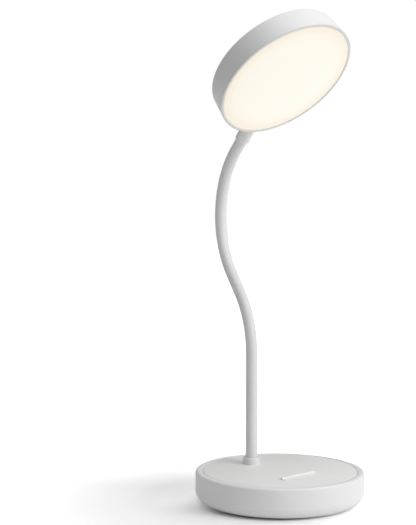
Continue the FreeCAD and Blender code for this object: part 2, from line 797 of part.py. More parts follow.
def joint_place(number):
    return Spec.first_joint.number + Spec.joint_step.number * number


JOINTS = 8
core_foot = Spec.base_top.number - Spec.stud_reach.number
core_tip_end = neck_end - Spec.fit_gap.number


def shaped(node, shape, place):
    """A node whose solid is made by code from the sheet's sizes."""
    made = doc.addObject("Part::Feature", node)
    made.Shape = shape
    keep(made, node, place)


def ball_end(distance):
    """The stem and ball that end a core link, with the next joint's centre."""
    root = distance - Spec.stem_length.number - Spec.fit_gap.number
    stem = follow(root, distance, Spec.stem_radius.number)
    ball = Part.makeSphere(ball_radius.number, point_on_neck(distance))
    return stem.fuse(ball)


def core_link(start, end, has_cup, has_ball):
    low = start - Spec.cup_lip.number if has_cup else start
    high = end - Spec.stem_length.number if has_ball else end
    link = follow(low, high, core_radius.number)
    if has_ball:
        link = link.fuse(ball_end(end))
    if has_cup:
        room = ball_radius.number + Spec.ball_gap.number
        link = link.cut(Part.makeSphere(room, point_on_neck(start)))
    past = Spec.fit_gap.number
    channel_end = end + (ball_radius.number + past if has_ball else past)
    link = link.cut(follow(low - past, channel_end, Spec.wire_bore.number))
    return link.removeSplitter().Solids[0]


def make_neck():
    half_gap = Spec.sleeve_gap.number / 2
    outer = Spec.sleeve_radius.number
    bore = sleeve_bore.number
    seat = Spec.ring_seat.number
    shaped("core_root", core_link(core_foot - Spec.base_top.number, joint_place(0), False, True),
           neck_frame)
    shaped("sleeve_root", follow(seat, joint_place(0) - half_gap, outer, bore), neck_frame)
    for number in range(1, JOINTS):
        start = joint_place(number - 1)
        end = joint_place(number)
        shaped(f"core_link_{number}", core_link(start, end, True, True), neck_frame)
        shaped(f"sleeve_link_{number}", follow(start + half_gap, end - half_gap, outer, bore),
               neck_frame)
    last = joint_place(JOINTS - 1)
    shaped("core_tip", core_link(last, core_tip_end, True, False), neck_frame)
    sleeve_end = (neck_end - Spec.collar_length.number + Spec.collar_seat.number
                  - Spec.fit_gap.number)
    shaped("sleeve_tip", follow(last + half_gap, sleeve_end, outer, bore), neck_frame)


root_place = Placement(Vector(0, neck_root.number, 0), Rotation())
ring_radius = Spec.sleeve_radius + Spec.ring_wall
nut_size = (stud_radius + Spec.nut_reach) * 2
washer_radius = stud_radius + Spec.washer_reach


def hexagon(name, across_flats, thick, bore, place):
    """A six-sided nut with a round hole."""
    blank = doc.addObject("Part::Prism", name + "_blank")
    bind(blank, {"Circumradius": across_flats / math.sqrt(3), "Height": thick})
    blank.Polygon = 6
    hole = cylinder(name + "_hole", bore, thick * 3, (0, 0, -thick))
    return keep(cut(name, blank, hole), name, place)


def make_neck_foot():
    stud_low = Spec.base_top - Spec.stud_reach
    core_bore = core_radius + Spec.thread_gap
    sleeve_room = Spec.sleeve_radius + Spec.thread_gap * 2
    seat = Spec.base_top + Spec.ring_seat
    ring_top = Spec.base_top + Spec.ring_height
    ring = turned("neck_foot_ring", [
        (core_bore, stud_low),
        (stud_radius, stud_low),
        (stud_radius, Spec.base_top),
        (ring_radius, Spec.base_top),
        (ring_radius, ring_top - Spec.ring_edge_round),
        (ring_radius - Spec.ring_edge_round, ring_top, Spec.ring_edge_round),
        (sleeve_room, ring_top),
        (sleeve_room, seat),
        (core_bore, seat),
    ])
    keep(ring, "neck_foot_ring", root_place)
    washer = turned("neck_washer", ring_corners(
        stud_radius + Spec.thread_gap * 2, washer_radius,
        seat_top - Spec.washer_thick, seat_top))
    keep(washer, "neck_washer", root_place)
    nut_low = seat_top - Spec.washer_thick - Spec.nut_thick
    hexagon("neck_nut", nut_size, Spec.nut_thick, stud_radius + Spec.thread_gap,
            Placement(Vector(0, neck_root.number, nut_low.number), Rotation()))


def wire_along(points, bend, radius):
    """A wire of straight runs joined by round bends in one plane."""
    edges = []
    start = points[0]
    for index in range(1, len(points) - 1):
        before = (points[index - 1] - points[index]).normalize()
        after = (points[index + 1] - points[index]).normalize()
        half = before.getAngle(after) / 2
        reach = bend / math.tan(half)
        first = points[index] + before * reach
        last = points[index] + after * reach
        towards = (before + after).normalize()
        centre = points[index] + towards * (bend / math.sin(half))
        edges.append(Part.LineSegment(start, first).toShape())
        edges.append(Part.Arc(first, centre - towards * bend, last).toShape())
        start = last
    edges.append(Part.LineSegment(start, points[-1]).toShape())
    path = Part.Wire(edges)
    heading = (points[1] - points[0]).normalize()
    ring = Part.Wire(Part.makeCircle(radius, points[0], heading))
    return path.makePipeShell([ring], True, False)


def make_lamp_lead():
    """The two wires that leave the neck's foot and land on the circuit board."""
    radius = lead_radius.number
    bend = lead_bend.number
    floor = board_top.number + radius
    root = neck_root.number
    landing = board_front.number + Spec.post_radius.number
    wires = []
    for side in (-1, 1):
        across = lead_spread.number * side
        wires.append(wire_along([
            Vector(across, root, core_foot + Spec.cup_lip.number * 2),
            Vector(across, root, floor),
            Vector(across, landing, floor),
        ], bend, radius))
    shaped("lamp_lead", Part.makeCompound(wires), Placement())


# ---------------------------------------------------------------- the head
#
# The head's own frame: the origin is the centre of its front, +Y leads from
# the front to the back, and +Z away from the collar.

collar_reach = Spec.head_radius - Spec.head_taper * Spec.collar_depth / Spec.head_thick
head_inside = Spec.head_radius - Spec.head_taper - Spec.head_wall
head_mouth = (Spec.head_radius - Spec.head_taper * Spec.bezel_thick / Spec.head_thick
              - Spec.head_wall)


def head_frame():
    spot = station(neck_end)
    twist = Placement(Vector(), Rotation(Vector(0, 0, 1), Spec.head_twist.number))
    centre = Placement(Vector(0, -Spec.collar_depth.number, collar_reach.number), Rotation())
    return neck_frame.multiply(spot).multiply(twist).multiply(centre)


HEAD = head_frame()
guide_low = Spec.diffuser_inset + Spec.diffuser_thick
guide_high = guide_low + Spec.guide_thick
sheet_high = guide_high + Spec.sheet_thick
tray_low = sheet_high + Spec.tray_gap
tray_high = tray_low + Spec.tray_thick
tray_outer = head_inside - Spec.fit_gap / 2
tray_rim = tray_outer - Spec.rim_thick
guide_radius = tray_rim - Spec.strip_thick - Spec.led_thick - Spec.guide_gap
tray_boss_circle = Spec.head_radius - Spec.tray_boss_inset
collar_radius = Spec.sleeve_radius + Spec.collar_wall
collar_nut_size = (Spec.collar_stud_radius + Spec.collar_nut_reach) * 2
back_inside = Spec.head_thick - Spec.head_back
screw_angles = (90, 210, 330)


def head_spot(radius, angle, depth):
    across = size_of(radius) * math.cos(math.radians(angle))
    up = size_of(radius) * math.sin(math.radians(angle))
    return (across, depth, up)


def head_disc(node, corners):
    keep(turned(node, corners, "XY_Plane"), node, HEAD)


def make_housing():
    corners = [
        (head_mouth, Spec.bezel_thick),
        (Spec.head_radius - Spec.head_taper * Spec.bezel_thick / Spec.head_thick,
         Spec.bezel_thick),
        (Spec.head_radius - Spec.head_taper, Spec.head_thick - Spec.head_back_round),
        (Spec.head_radius - Spec.head_taper - Spec.head_back_round, Spec.head_thick,
         Spec.head_back_round),
        (0, Spec.head_thick),
        (0, back_inside),
        (head_inside, back_inside),
        (head_inside, guide_low),
        (head_mouth, guide_low),
    ]
    pan = turned("housing_pan", corners, "XY_Plane")
    bosses = []
    holes = []
    for angle in screw_angles:
        bosses.append(cylinder(f"housing_boss_{angle}", Spec.tray_boss_radius,
                               back_inside + Spec.head_back / 2 - tray_high,
                               head_spot(tray_boss_circle, angle, tray_high), TO_Y))
        holes.append(cylinder(f"housing_pilot_{angle}", Spec.tray_screw_radius + Spec.thread_gap,
                              Spec.tray_screw_grip + Spec.fit_gap,
                              head_spot(tray_boss_circle, angle, tray_high), TO_Y))
    holes.append(cylinder("collar_hole", Spec.collar_stud_radius + Spec.thread_gap * 2,
                          Spec.head_wall * 4,
                          (0, Spec.collar_depth, -collar_reach - Spec.head_wall)))
    keep(cut("head_housing", join("housing_body", [pan] + bosses), holes),
         "head_housing", HEAD)


def make_optics():
    bezel_inside = Spec.head_radius - Spec.bezel_width
    head_disc("bezel_ring", [
        (bezel_inside, 0),
        (Spec.head_radius - Spec.bezel_round, 0),
        (Spec.head_radius, Spec.bezel_round, Spec.bezel_round),
        (Spec.head_radius - Spec.head_taper * Spec.bezel_thick / Spec.head_thick,
         Spec.bezel_thick),
        (bezel_inside, Spec.bezel_thick),
    ])
    head_disc("diffuser", [
        (0, Spec.diffuser_inset),
        (bezel_inside - Spec.fit_gap / 3, Spec.diffuser_inset),
        (bezel_inside - Spec.fit_gap / 3, Spec.bezel_thick),
        (head_mouth - Spec.fit_gap / 3, Spec.bezel_thick),
        (head_mouth - Spec.fit_gap / 3, guide_low),
        (0, guide_low),
    ])
    head_disc("light_guide", disc_corners(guide_radius, guide_low, guide_high))
    head_disc("reflector_sheet", disc_corners(guide_radius, guide_high, sheet_high))
    head_disc("led_strip", ring_corners(tray_rim - Spec.strip_thick, tray_rim,
                                        guide_low, sheet_high))


def make_led_chips():
    count = round(Spec.led_count.number)
    outer = (tray_rim - Spec.strip_thick).number
    length = Spec.led_length.number
    tall = Spec.guide_thick.number - Spec.fit_gap.number * 2
    low = guide_low.number + Spec.fit_gap.number
    chips = []
    for number in range(count):
        chip = Part.makeBox(length, tall, Spec.led_thick.number,
                            Vector(-length / 2, low, outer - Spec.led_thick.number))
        chip.rotate(Vector(), Vector(0, 1, 0), 360.0 * (number + 0.5) / count)
        reach = Part.makeCylinder(outer, tall, Vector(0, low, 0), Vector(0, 1, 0))
        chips.append(chip.common(reach).Solids[0])
    shaped("led_chips", Part.makeCompound(chips), HEAD)


def make_tray():
    step_inside = guide_radius - Spec.tray_step
    pan = turned("tray_pan", [
        (0, tray_low),
        (step_inside, tray_low),
        (step_inside, sheet_high),
        (tray_rim, sheet_high),
        (tray_rim, guide_low),
        (tray_outer, guide_low),
        (tray_outer, tray_high),
        (0, tray_high),
    ], "XY_Plane")
    half = collar_nut_size / 2 + Spec.collar_stud_radius
    notch_low = Spec.collar_depth - collar_nut_size / 2 - Spec.fit_gap / 2
    notch_deep = Spec.collar_nut_thick + Spec.fit_gap * 4
    notch = box("tray_notch", half * 2, Spec.head_thick, notch_deep + Spec.head_wall,
                (-half, notch_low, -head_inside - Spec.head_wall))
    holes = [notch]
    for angle in screw_angles:
        holes.append(cylinder(f"tray_hole_{angle}", Spec.tray_screw_radius + Spec.fit_gap,
                              Spec.tray_thick * 3,
                              head_spot(tray_boss_circle, angle,
                                        tray_low - Spec.tray_thick), TO_Y))
    keep(cut("metal_tray", pan, holes), "metal_tray", HEAD)
    screws = []
    head_thick = Spec.tray_gap - Spec.thread_gap * 2
    for angle in screw_angles:
        head = cylinder(f"tray_screw_head_{angle}", Spec.tray_screw_radius * 2, head_thick,
                        head_spot(tray_boss_circle, angle, tray_low - head_thick), TO_Y)
        shank = cylinder(f"tray_screw_shank_{angle}", Spec.tray_screw_radius,
                         Spec.tray_screw_grip + Spec.tray_thick,
                         head_spot(tray_boss_circle, angle, tray_low), TO_Y)
        screws.append(join(f"tray_screw_{angle}", [head, shank]))
    keep(group("tray_screws", screws), "tray_screws", HEAD)


def make_collar():
    """The collar holds the neck's end and is drawn against the wall by a nut."""
    wall_flat = collar_reach - Spec.head_wall
    nut_low = head_inside - Spec.fit_gap
    shoulder_low = collar_reach + Spec.collar_length
    sleeve_room = Spec.sleeve_radius + Spec.thread_gap * 2
    core_bore = core_radius + Spec.thread_gap
    sleeve_seat = shoulder_low - Spec.collar_seat
    edge = Spec.collar_edge_round
    stud_top = nut_low - Spec.collar_nut_thick - Spec.fit_gap * 2
    blank = turned("collar_blank", [
        (sleeve_room, -shoulder_low),
        (collar_radius - edge, -shoulder_low),
        (collar_radius, edge - shoulder_low, edge),
        (collar_radius, -wall_flat),
        (Spec.collar_stud_radius, -wall_flat),
        (Spec.collar_stud_radius, -stud_top),
        (Spec.stem_radius, -stud_top),
        (Spec.stem_radius, -collar_reach),
        (core_bore, -collar_reach),
        (core_bore, -sleeve_seat),
        (sleeve_room, -sleeve_seat),
    ])
    blank.Placement = Placement(Vector(0, Spec.collar_depth.number, 0), Rotation())
    saddle = turned("collar_saddle", [
        (head_inside - Spec.head_wall, 0),
        (Spec.head_radius, 0),
        (Spec.head_radius - Spec.head_taper, Spec.head_thick),
        (head_inside - Spec.head_wall, Spec.head_thick),
    ], "XY_Plane")
    stud = cylinder("collar_stud_room", Spec.collar_stud_radius, Spec.head_radius,
                    (0, Spec.collar_depth, -collar_reach - Spec.head_wall / 2))
    keep(cut("head_collar", blank, cut("saddle_cutter", saddle, stud)), "head_collar", HEAD)
    hexagon("collar_nut", collar_nut_size, Spec.collar_nut_thick,
            Spec.collar_stud_radius + Spec.thread_gap,
            HEAD.multiply(Placement(
                Vector(0, Spec.collar_depth.number, -nut_low.number), Rotation())))


def make_head_lead():
    """The two wires from the collar's stud to the back of the tray."""
    radius = lead_radius.number
    bend = lead_bend.number
    depth = Spec.collar_depth.number
    start = collar_reach.number - Spec.head_wall.number * 2
    rise = start - Spec.head_wall.number * 5
    wires = []
    for side in (-1, 1):
        across = lead_spread.number * side
        wires.append(wire_along([
            Vector(across, depth, -start),
            Vector(across, depth, -rise),
            Vector(across, tray_high.number, -rise),
        ], bend, radius))
    shaped("head_lead", Part.makeCompound(wires), HEAD)


# ---------------------------------------------------------------- the lamp

make_foot_pad()
make_base_shell()
make_top_cover()
make_bottom_plate()
make_base_screws()
make_ballast_and_battery()
make_battery_lead()
make_control_board()
make_board_chips()
make_board_screws()
make_inlet()
make_button_and_switch()
make_charge_light()
make_neck_foot()
make_lamp_lead()
make_neck()
make_housing()
make_optics()
make_led_chips()
make_tray()
make_collar()
make_head_lead()

doc.recompute()

for item in doc.Objects:
    if "Invalid" in item.State or "Error" in item.State:
        raise RuntimeError(f"{item.Label} did not rebuild: {item.State}")
for item in sub_parts:
    if item.Shape.isNull() or not item.Shape.isValid():
        raise RuntimeError(f"{item.Label} has no valid shape")

os.makedirs("parts", exist_ok=True)
for item in sub_parts:
    item.Shape.exportStep(f"parts/{item.Label}.step")
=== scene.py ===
import math

import bmesh
import bpy
from mathutils import Matrix, Vector


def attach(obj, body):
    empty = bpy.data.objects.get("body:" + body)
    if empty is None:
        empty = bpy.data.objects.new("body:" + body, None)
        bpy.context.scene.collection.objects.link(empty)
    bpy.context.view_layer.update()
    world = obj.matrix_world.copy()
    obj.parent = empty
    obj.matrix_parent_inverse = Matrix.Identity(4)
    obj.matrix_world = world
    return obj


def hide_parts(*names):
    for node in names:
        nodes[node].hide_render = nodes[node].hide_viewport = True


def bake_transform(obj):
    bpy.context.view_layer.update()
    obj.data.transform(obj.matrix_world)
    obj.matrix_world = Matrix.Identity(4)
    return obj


# Desk lamp: a puck base with a phone rest on its cover, a bent neck in a
# smooth sleeve, and a thin round light head.  Metres.  Lengths are written in
# millimetres and multiplied by MM.

MM = 0.001

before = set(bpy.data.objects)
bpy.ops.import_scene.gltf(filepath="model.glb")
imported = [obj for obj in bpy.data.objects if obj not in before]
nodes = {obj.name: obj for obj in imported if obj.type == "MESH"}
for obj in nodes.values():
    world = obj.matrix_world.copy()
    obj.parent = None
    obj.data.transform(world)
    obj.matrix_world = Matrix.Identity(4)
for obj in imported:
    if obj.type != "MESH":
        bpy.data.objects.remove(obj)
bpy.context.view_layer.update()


# ------------------------------------------------------------ sizes, in mm

BASE_RADIUS = 60.0
BASE_TOP = 22.4
SHELL_LOW = 0.7
BOTTOM_ROUND = 8.0
TOP_ROUND = 1.8
RIM_ROUND = 0.3
HEEL_ROUND = 0.1
PLATE_OPENING = 51.6
SHELF_RADIUS = 48.7
SHELF_LOW = 1.9
SHELF_TOP = 3.5
SHELL_SLOPE = 3.0
WALL_INSIDE = 57.4
LEDGE_RADIUS = 52.2
LEDGE_LOW = 18.2

COVER_RADIUS = 54.8
COVER_RECESS = COVER_RADIUS + 0.4  # the shell's recess round the cover
COVER_FLANGE = COVER_RADIUS + 0.35  # the cover's thin edge in that recess
COVER_LOW = 20.0
COVER_ROUND = 0.6
GROOVE_DEPTH = 0.9
BOSS_CIRCLE = 44.0
BOSS_RADIUS = 3.5
BOSS_BORE = 1.25
BOSS_SUNK = 0.4  # how far a boss runs into the cover
BOSS_ROUND = 0.2
PLATE_TOP = 3.7

LIP_WIDTH = 33.0
LIP_MIDDLE = -5.8
LIP_BACK = -23.0
LIP_CREST = 1.0
LIP_RAMP = 5.0
LIP_HEIGHT = 1.6
LIP_SUNK = 1.2  # how far the lip runs into the cover
LIP_ROUND = 0.3
LIP_BACK_ROUND = 0.2
RAMP_START = 0.3  # the ramp starts this far before the crest
RAMP_DROP = 0.85  # and this far below it

PAD_RADIUS = 47.9
PAD_THICK = 1.3
PAD_ROUND = 0.5
PAD_GROOVES = (32.0, 38.0, 44.0)
PAD_GROOVE_WIDTH = 1.2
PAD_GROOVE_DEPTH = 0.4
PAD_RIB_PITCH = 1.5

SIDE_HEIGHT = 12.4
BUTTON_TURN = math.radians(-22.0)
BUTTON_RADIUS = 4.2
BUTTON_GAP = 0.15  # room round the button in its hole
BUTTON_PROUD = 0.9
BUTTON_ROUND = 0.45
BUTTON_RIM = 1.1  # width of the rim round the dished face
BUTTON_DISH = (0.75, 0.55)  # how far that face stands out: edge, middle
BUTTON_BACK = 55.8
FLANGE_RADIUS = 5.4
FLANGE_THICK = 1.2
FLANGE_ROUND = 0.2
PLUNGER_RADIUS = 1.6
PLUNGER_END = 50.8
PLUNGER_ROUND = 0.3
LIGHT_TURN = math.radians(22.0)
LIGHT_RADIUS = 1.1
LIGHT_GAP = 0.05
LIGHT_END = 51.6
LIGHT_ROUND = 0.3
INLET_HEIGHT = 12.2
INLET_WIDTH = 9.0
INLET_THICK = 3.2
INLET_SKIN = 0.3
INLET_GAP = 0.3
INLET_MOUTH = 58.8
INLET_LENGTH = 9.4
TONGUE_BARE = 54.2  # the contacts start behind this
CONTACT_PITCH = 0.5
CONTACT_SPREAD = 2.75
CUT_FROM = 53.0  # the holes in the wall are cut from here
CUT_TO = 63.0  # to here
CUT_SPARE = 2.0  # how far a cutter runs past the cover

NECK_FOOT = 28.8
NECK_HOLE = 4.95
NECK_YAW = math.radians(-12.0)
NECK_RISE = 102.7
LOW_BEND = 66.3
NECK_LEAN = math.radians(40.65)
MIDDLE_RUN = 18.9
HIGH_BEND = 64.8
HEAD_PITCH = math.radians(48.3)
TOP_RUN = 29.1
SLEEVE_RADIUS = 4.25
SLEEVE_LINING = 3.85
SLEEVE_SOCKET = 4.35
SLEEVE_FOOT = 1.6
SLEEVE_SUNK = 4.7  # how far the sleeve runs into the collar
JOINTS = 8
FIRST_JOINT = 24.0
JOINT_STEP = 30.0
CORE_BORE = 3.45
STUD_RADIUS = 4.85
STUD_LOW = 13.4
STUD_ROUND = 0.3
RING_RADIUS = 6.15
RING_HEIGHT = 5.0
RING_ROUND = 1.0
RING_LINING_ROUND = 0.25

HEAD_RADIUS = 50.9
HEAD_THICK = 18.4
HEAD_TAPER = 1.8
HEAD_TWIST = math.radians(8.3)
HEAD_INSIDE = 47.8
HEAD_MOUTH = 49.43
HEAD_FLOOR = 16.8
HEAD_BACK_ROUND = 1.6
HEAD_INSIDE_ROUND = 0.6
TRAY_BOSS_CIRCLE = 34.0
TRAY_BOSS_RADIUS = 2.6
TRAY_BOSS_BORE = 1.0
TRAY_BOSS_LOW = 6.8
TRAY_BOSS_TOP = 17.3
BEZEL_THICK = 1.7
BEZEL_INSIDE = 48.8
BEZEL_ROUND = 0.6
BEZEL_INNER_ROUND = 0.2
SEAM_ROUND = 0.06  # the edges where housing and bezel meet
DIFFUSER_FACE = 0.3
DIFFUSER_RADIUS = 48.7
DIFFUSER_FLANGE = 49.33
DIFFUSER_BACK = 2.3
DIFFUSER_ROUND = 0.15
LED_WINDOW = 46.15  # the LEDs' yellow windows lie inside this radius
COLLAR_DEPTH = 9.0
COLLAR_RADIUS = 5.25
COLLAR_LENGTH = 17.8
COLLAR_SEAT = 5.0
COLLAR_ROUND = 0.5
COLLAR_LINING_ROUND = 0.2
COLLAR_SUNK = 0.5  # how far the collar runs into the wall
COLLAR_STUD = 3.0
COLLAR_STUD_END = 4.5
COLLAR_BORE = 1.5
COLLAR_REACH = HEAD_RADIUS - HEAD_TAPER * COLLAR_DEPTH / HEAD_THICK

ROUND_STEPS = 192  # faces round the base and head
RING_STEPS = 128  # round the neck's ring and collar
SMALL_STEPS = 64  # round bosses, button and holes
TUBE_STEPS = 48  # round the sleeve
TINY_STEPS = 32  # round the charge light's hole
SWEEP_STEP = 1.1  # length of a face along the sleeve
SHARP_ANGLE = math.radians(32)
TOUCHING = 1e-7  # points nearer than this are one, in metres


# ------------------------------------------------------------ stage, lamps and camera, in m

FLOOR_REACH = 4.0
FLOOR_GREY = 0.90
STAGE_TURN = math.radians(42.3)  # turns the floor's across and away to the view
# Soft steps of the floor's glow, which paints light and shade on it: painted shade close
# round the base, painted light on its right, behind and in front. Each gives where it starts,
# where it is full, how much.
GLOW_NEAR = (0.060, 0.110, 0.15)
GLOW_FAR = (0.090, 0.330, 0.74)
GLOW_RIGHT = (-0.005, 0.060, 0.28)
GLOW_BEHIND = (-0.040, 0.005, 0.33)
GLOW_FRONT = (-0.060, -0.078, 0.08)
GLOW_WINDOW = (0.100, 0.065, 1.0)
GLOW_BACKDROP = (0.040, 0.110, 0.11)
WORLD_LIGHT = 0.265
LAMP_AIM = (0, 0, 0.15)
LAMPS = (("key", (0.40, -1.22, 0.95), 1.1, 16.0),  # place, size, watts
         ("top", (0.02, 0.02, 1.6), 1.2, 8.1))
CAMERA_PLACE = (-0.64281, -0.63097, 0.21703)
CAMERA_DIP = math.radians(2.972)
CAMERA_TURN = math.radians(-42.281)
CAMERA_LENS = 87.36
FILM_WIDTH = 36.0


# ------------------------------------------------------------ node helpers

def link_inputs(tree, node, inputs):
    """Sets a node's inputs: a socket is linked, anything else is a value."""
    for name, value in inputs.items():
        socket = node.inputs[name]
        if isinstance(value, bpy.types.NodeSocket):
            tree.links.new(value, socket)
        else:
            socket.default_value = value


def add_node(tree, kind, inputs=None, **settings):
    node = tree.nodes.new("ShaderNode" + kind)
    for name, value in settings.items():
        setattr(node, name, value)
    link_inputs(tree, node, inputs or {})
    return node


def math_node(tree, operation, *values):
    node = add_node(tree, "Math", dict(enumerate(values)), operation=operation)
    return node.outputs[0]


def noise(tree, point, scale, detail=2.0, **inputs):
    given = {"Vector": point, "Scale": scale, "Detail": detail, **inputs}
    return add_node(tree, "TexNoise", given).outputs["Fac"]


def map_range(tree, value, start=0.0, end=1.0, low=0.0, high=1.0, **settings):
    """Makes a value that goes from start to end go from low to high."""
    node = add_node(tree, "MapRange", {"Value": value, "From Min": start, "From Max": end,
                                       "To Min": low, "To Max": high}, **settings)
    return node.outputs["Result"]


def bump(tree, height, strength, distance, **inputs):
    """A normal tilted by a height, whose full reach is the distance in mm."""
    given = {"Height": height, "Strength": strength, "Distance": distance * MM, **inputs}
    return add_node(tree, "Bump", given).outputs["Normal"]


def color_ramp(tree, factor, stops, interpolation="LINEAR"):
    """A ramp through (place, colour) stops."""
    node = add_node(tree, "ValToRGB", {"Fac": factor})
    ramp = node.color_ramp
    ramp.interpolation = interpolation
    while len(ramp.elements) < len(stops):
        ramp.elements.new(1.0)
    for element, (place, color) in zip(ramp.elements, stops):
        element.position = place
        element.color = (*color, 1.0)
    return node.outputs["Color"]


def object_point(tree, centre=(0, 0, 0), turn=(0, 0, 0), scale=(1, 1, 1)):
    """Object coordinates, moved, turned and scaled about a piece's centre."""
    point = add_node(tree, "TexCoord").outputs["Object"]
    if centre == (0, 0, 0) and turn == (0, 0, 0) and scale == (1, 1, 1):
        return point
    moved = add_node(tree, "VectorMath", {0: point, 1: centre}, operation="SUBTRACT")
    mapping = add_node(tree, "Mapping", {"Vector": moved.outputs[0], "Rotation": turn,
                                         "Scale": scale})
    return mapping.outputs["Vector"]


def axes(tree, point):
    """The X, Y and Z of a point."""
    return add_node(tree, "SeparateXYZ", {"Vector": point}).outputs


def radius_from(tree, centre=(0, 0, 0), turn=(0, 0, 0)):
    """Distance from an axis that runs along the turned Z, in metres."""
    point = object_point(tree, centre, turn)
    flat = add_node(tree, "VectorMath", {0: point, 1: (1.0, 1.0, 0.0)}, operation="MULTIPLY")
    length = add_node(tree, "VectorMath", {0: flat.outputs[0]}, operation="LENGTH")
    return length.outputs["Value"]


def new_group(name, inputs, outputs):
    """A shader group with named inputs (with their defaults) and outputs."""
    group = bpy.data.node_groups.new(name, "ShaderNodeTree")
    for label, kind, value in inputs:
        socket = group.interface.new_socket(label, in_out="INPUT",
                                            socket_type="NodeSocket" + kind)
        if value is not None:
            socket.default_value = value
    for label, kind in outputs:
        group.interface.new_socket(label, in_out="OUTPUT", socket_type="NodeSocket" + kind)
    given = group.nodes.new("NodeGroupInput").outputs
    return group, given, group.nodes.new("NodeGroupOutput")


def use_group(tree, group, inputs):
    """Places a shared effect and gives its outputs."""
    node = tree.nodes.new("ShaderNodeGroup")
    node.node_tree = group
    link_inputs(tree, node, inputs)
    return node.outputs


# ------------------------------------------------------------ shared effects

def make_mould_grain():
    """The fine matte grain of a spark-eroded mould, with a softer wave under it."""
    group, given, result = new_group(
        "mould_grain",
        [("Point", "Vector", None), ("Color", "Color", (0.8, 0.8, 0.8, 1)),
         ("Grain", "Float", 2600.0), ("Depth", "Float", 0.25), ("Tone", "Float", 0.02),
         ("Roughness", "Float", 0.5), ("Spread", "Float", 0.06)],
        [("Color", "Color"), ("Roughness", "Float"), ("Normal", "Vector")])
    point = given["Point"]
    grain = noise(group, point, given["Grain"], 3.0, Roughness=0.6)
    wave = noise(group, point, 55.0)
    height = math_node(group, "MULTIPLY_ADD", wave, 0.35, grain)
    cloud = map_range(group, noise(group, point, 18.0, 3.0), 0.3, 0.7, -1.0, 1.0)
    value = math_node(group, "MULTIPLY_ADD", cloud, given["Tone"], 1.0)
    tinted = add_node(group, "HueSaturation", {"Color": given["Color"], "Value": value})
    speck = math_node(group, "SUBTRACT", grain, 0.5)
    rough = math_node(group, "MULTIPLY_ADD", speck, given["Spread"], given["Roughness"])
    link_inputs(group, result, {"Color": tinted.outputs["Color"], "Roughness": rough,
                                "Normal": bump(group, height, given["Depth"], 0.03)})
    return group


def make_handling_marks():
    """Faint cloudy smudges and a little dust that a handled surface picks up."""
    group, given, result = new_group(
        "handling_marks",
        [("Point", "Vector", None), ("Color", "Color", (0.8, 0.8, 0.8, 1)),
         ("Roughness", "Float", 0.5), ("Amount", "Float", 0.5)],
        [("Color", "Color"), ("Roughness", "Float")])
    patches = noise(group, given["Point"], 90.0, 5.0, Distortion=0.8)
    weight = math_node(group, "MULTIPLY", map_range(group, patches, 0.52, 0.72),
                       given["Amount"])
    dulled = add_node(group, "MixRGB", {"Fac": math_node(group, "MULTIPLY", weight, 0.05),
                                        "Color1": given["Color"],
                                        "Color2": (0.55, 0.53, 0.5, 1.0)})
    rough = math_node(group, "MULTIPLY_ADD", weight, 0.12, given["Roughness"])
    link_inputs(group, result, {"Color": dulled.outputs["Color"], "Roughness": rough})
    return group


def make_machined_metal():
    """Fine parallel tool marks, with brighter and duller streaks."""
    group, given, result = new_group(
        "machined_metal",
        [("Point", "Vector", None), ("Color", "Color", (0.6, 0.6, 0.6, 1)),
         ("Roughness", "Float", 0.35), ("Depth", "Float", 0.3)],
        [("Color", "Color"), ("Roughness", "Float"), ("Normal", "Vector")])
    streaks = noise(group, given["Point"], 900.0, 4.0, Roughness=0.65)
    shade = map_range(group, noise(group, given["Point"], 140.0, 3.0), 0.3, 0.7, 0.86, 1.08)
    tinted = add_node(group, "HueSaturation", {"Color": given["Color"], "Value": shade})
    speck = math_node(group, "SUBTRACT", streaks, 0.5)
    rough = math_node(group, "MULTIPLY_ADD", speck, 0.25, given["Roughness"])
    link_inputs(group, result, {"Color": tinted.outputs["Color"], "Roughness": rough,
                                "Normal": bump(group, streaks, given["Depth"], 0.02)})
    return group


mould_grain = make_mould_grain()
handling_marks = make_handling_marks()
machined_metal = make_machined_metal()


# ------------------------------------------------------------ materials

def new_material(name, **uniform):
    """A Principled material, its uniform values set on the shader's own sockets."""
    material = bpy.data.materials.new(name)
    material.use_nodes = True
    tree = material.node_tree
    shader = tree.nodes["Principled BSDF"]
    for label, value in uniform.items():
        shader.inputs[label.replace("_", " ")].default_value = value
    return material, tree, shader


def link_surface(tree, shader, color, roughness, normal=None):
    """Links what varies over a surface to its shader."""
    link_inputs(tree, shader, {"Base Color": color, "Roughness": roughness})
    if normal is not None:
        link_inputs(tree, shader, {"Normal": normal})


def grained(tree, point, color, grain, depth, tone, roughness):
    return use_group(tree, mould_grain, {
        "Point": point, "Color": (*color, 1.0), "Grain": grain, "Depth": depth,
        "Tone": tone, "Roughness": roughness})


def moulded_plastic(name, color, roughness, grain, depth, marks=0.5, tone=0.02, **uniform):
    material, tree, shader = new_material(name, **uniform)
    point = object_point(tree)
    plain = grained(tree, point, color, grain, depth, tone, roughness)
    marked = use_group(tree, handling_marks, {"Point": point, "Color": plain["Color"],
                                              "Roughness": plain["Roughness"],
                                              "Amount": marks})
    link_surface(tree, shader, marked["Color"], marked["Roughness"], plain["Normal"])
    return material


def cut_metal(name, color, roughness, scale=(1, 1, 12)):
    """Bright metal with tool marks, finest along the axes that are scaled most."""
    material, tree, shader = new_material(name, Metallic=1.0)
    marks = use_group(tree, machined_metal, {
        "Point": object_point(tree, scale=scale), "Color": (*color, 1.0),
        "Roughness": roughness})
    link_surface(tree, shader, marks["Color"], marks["Roughness"], marks["Normal"])
    return material


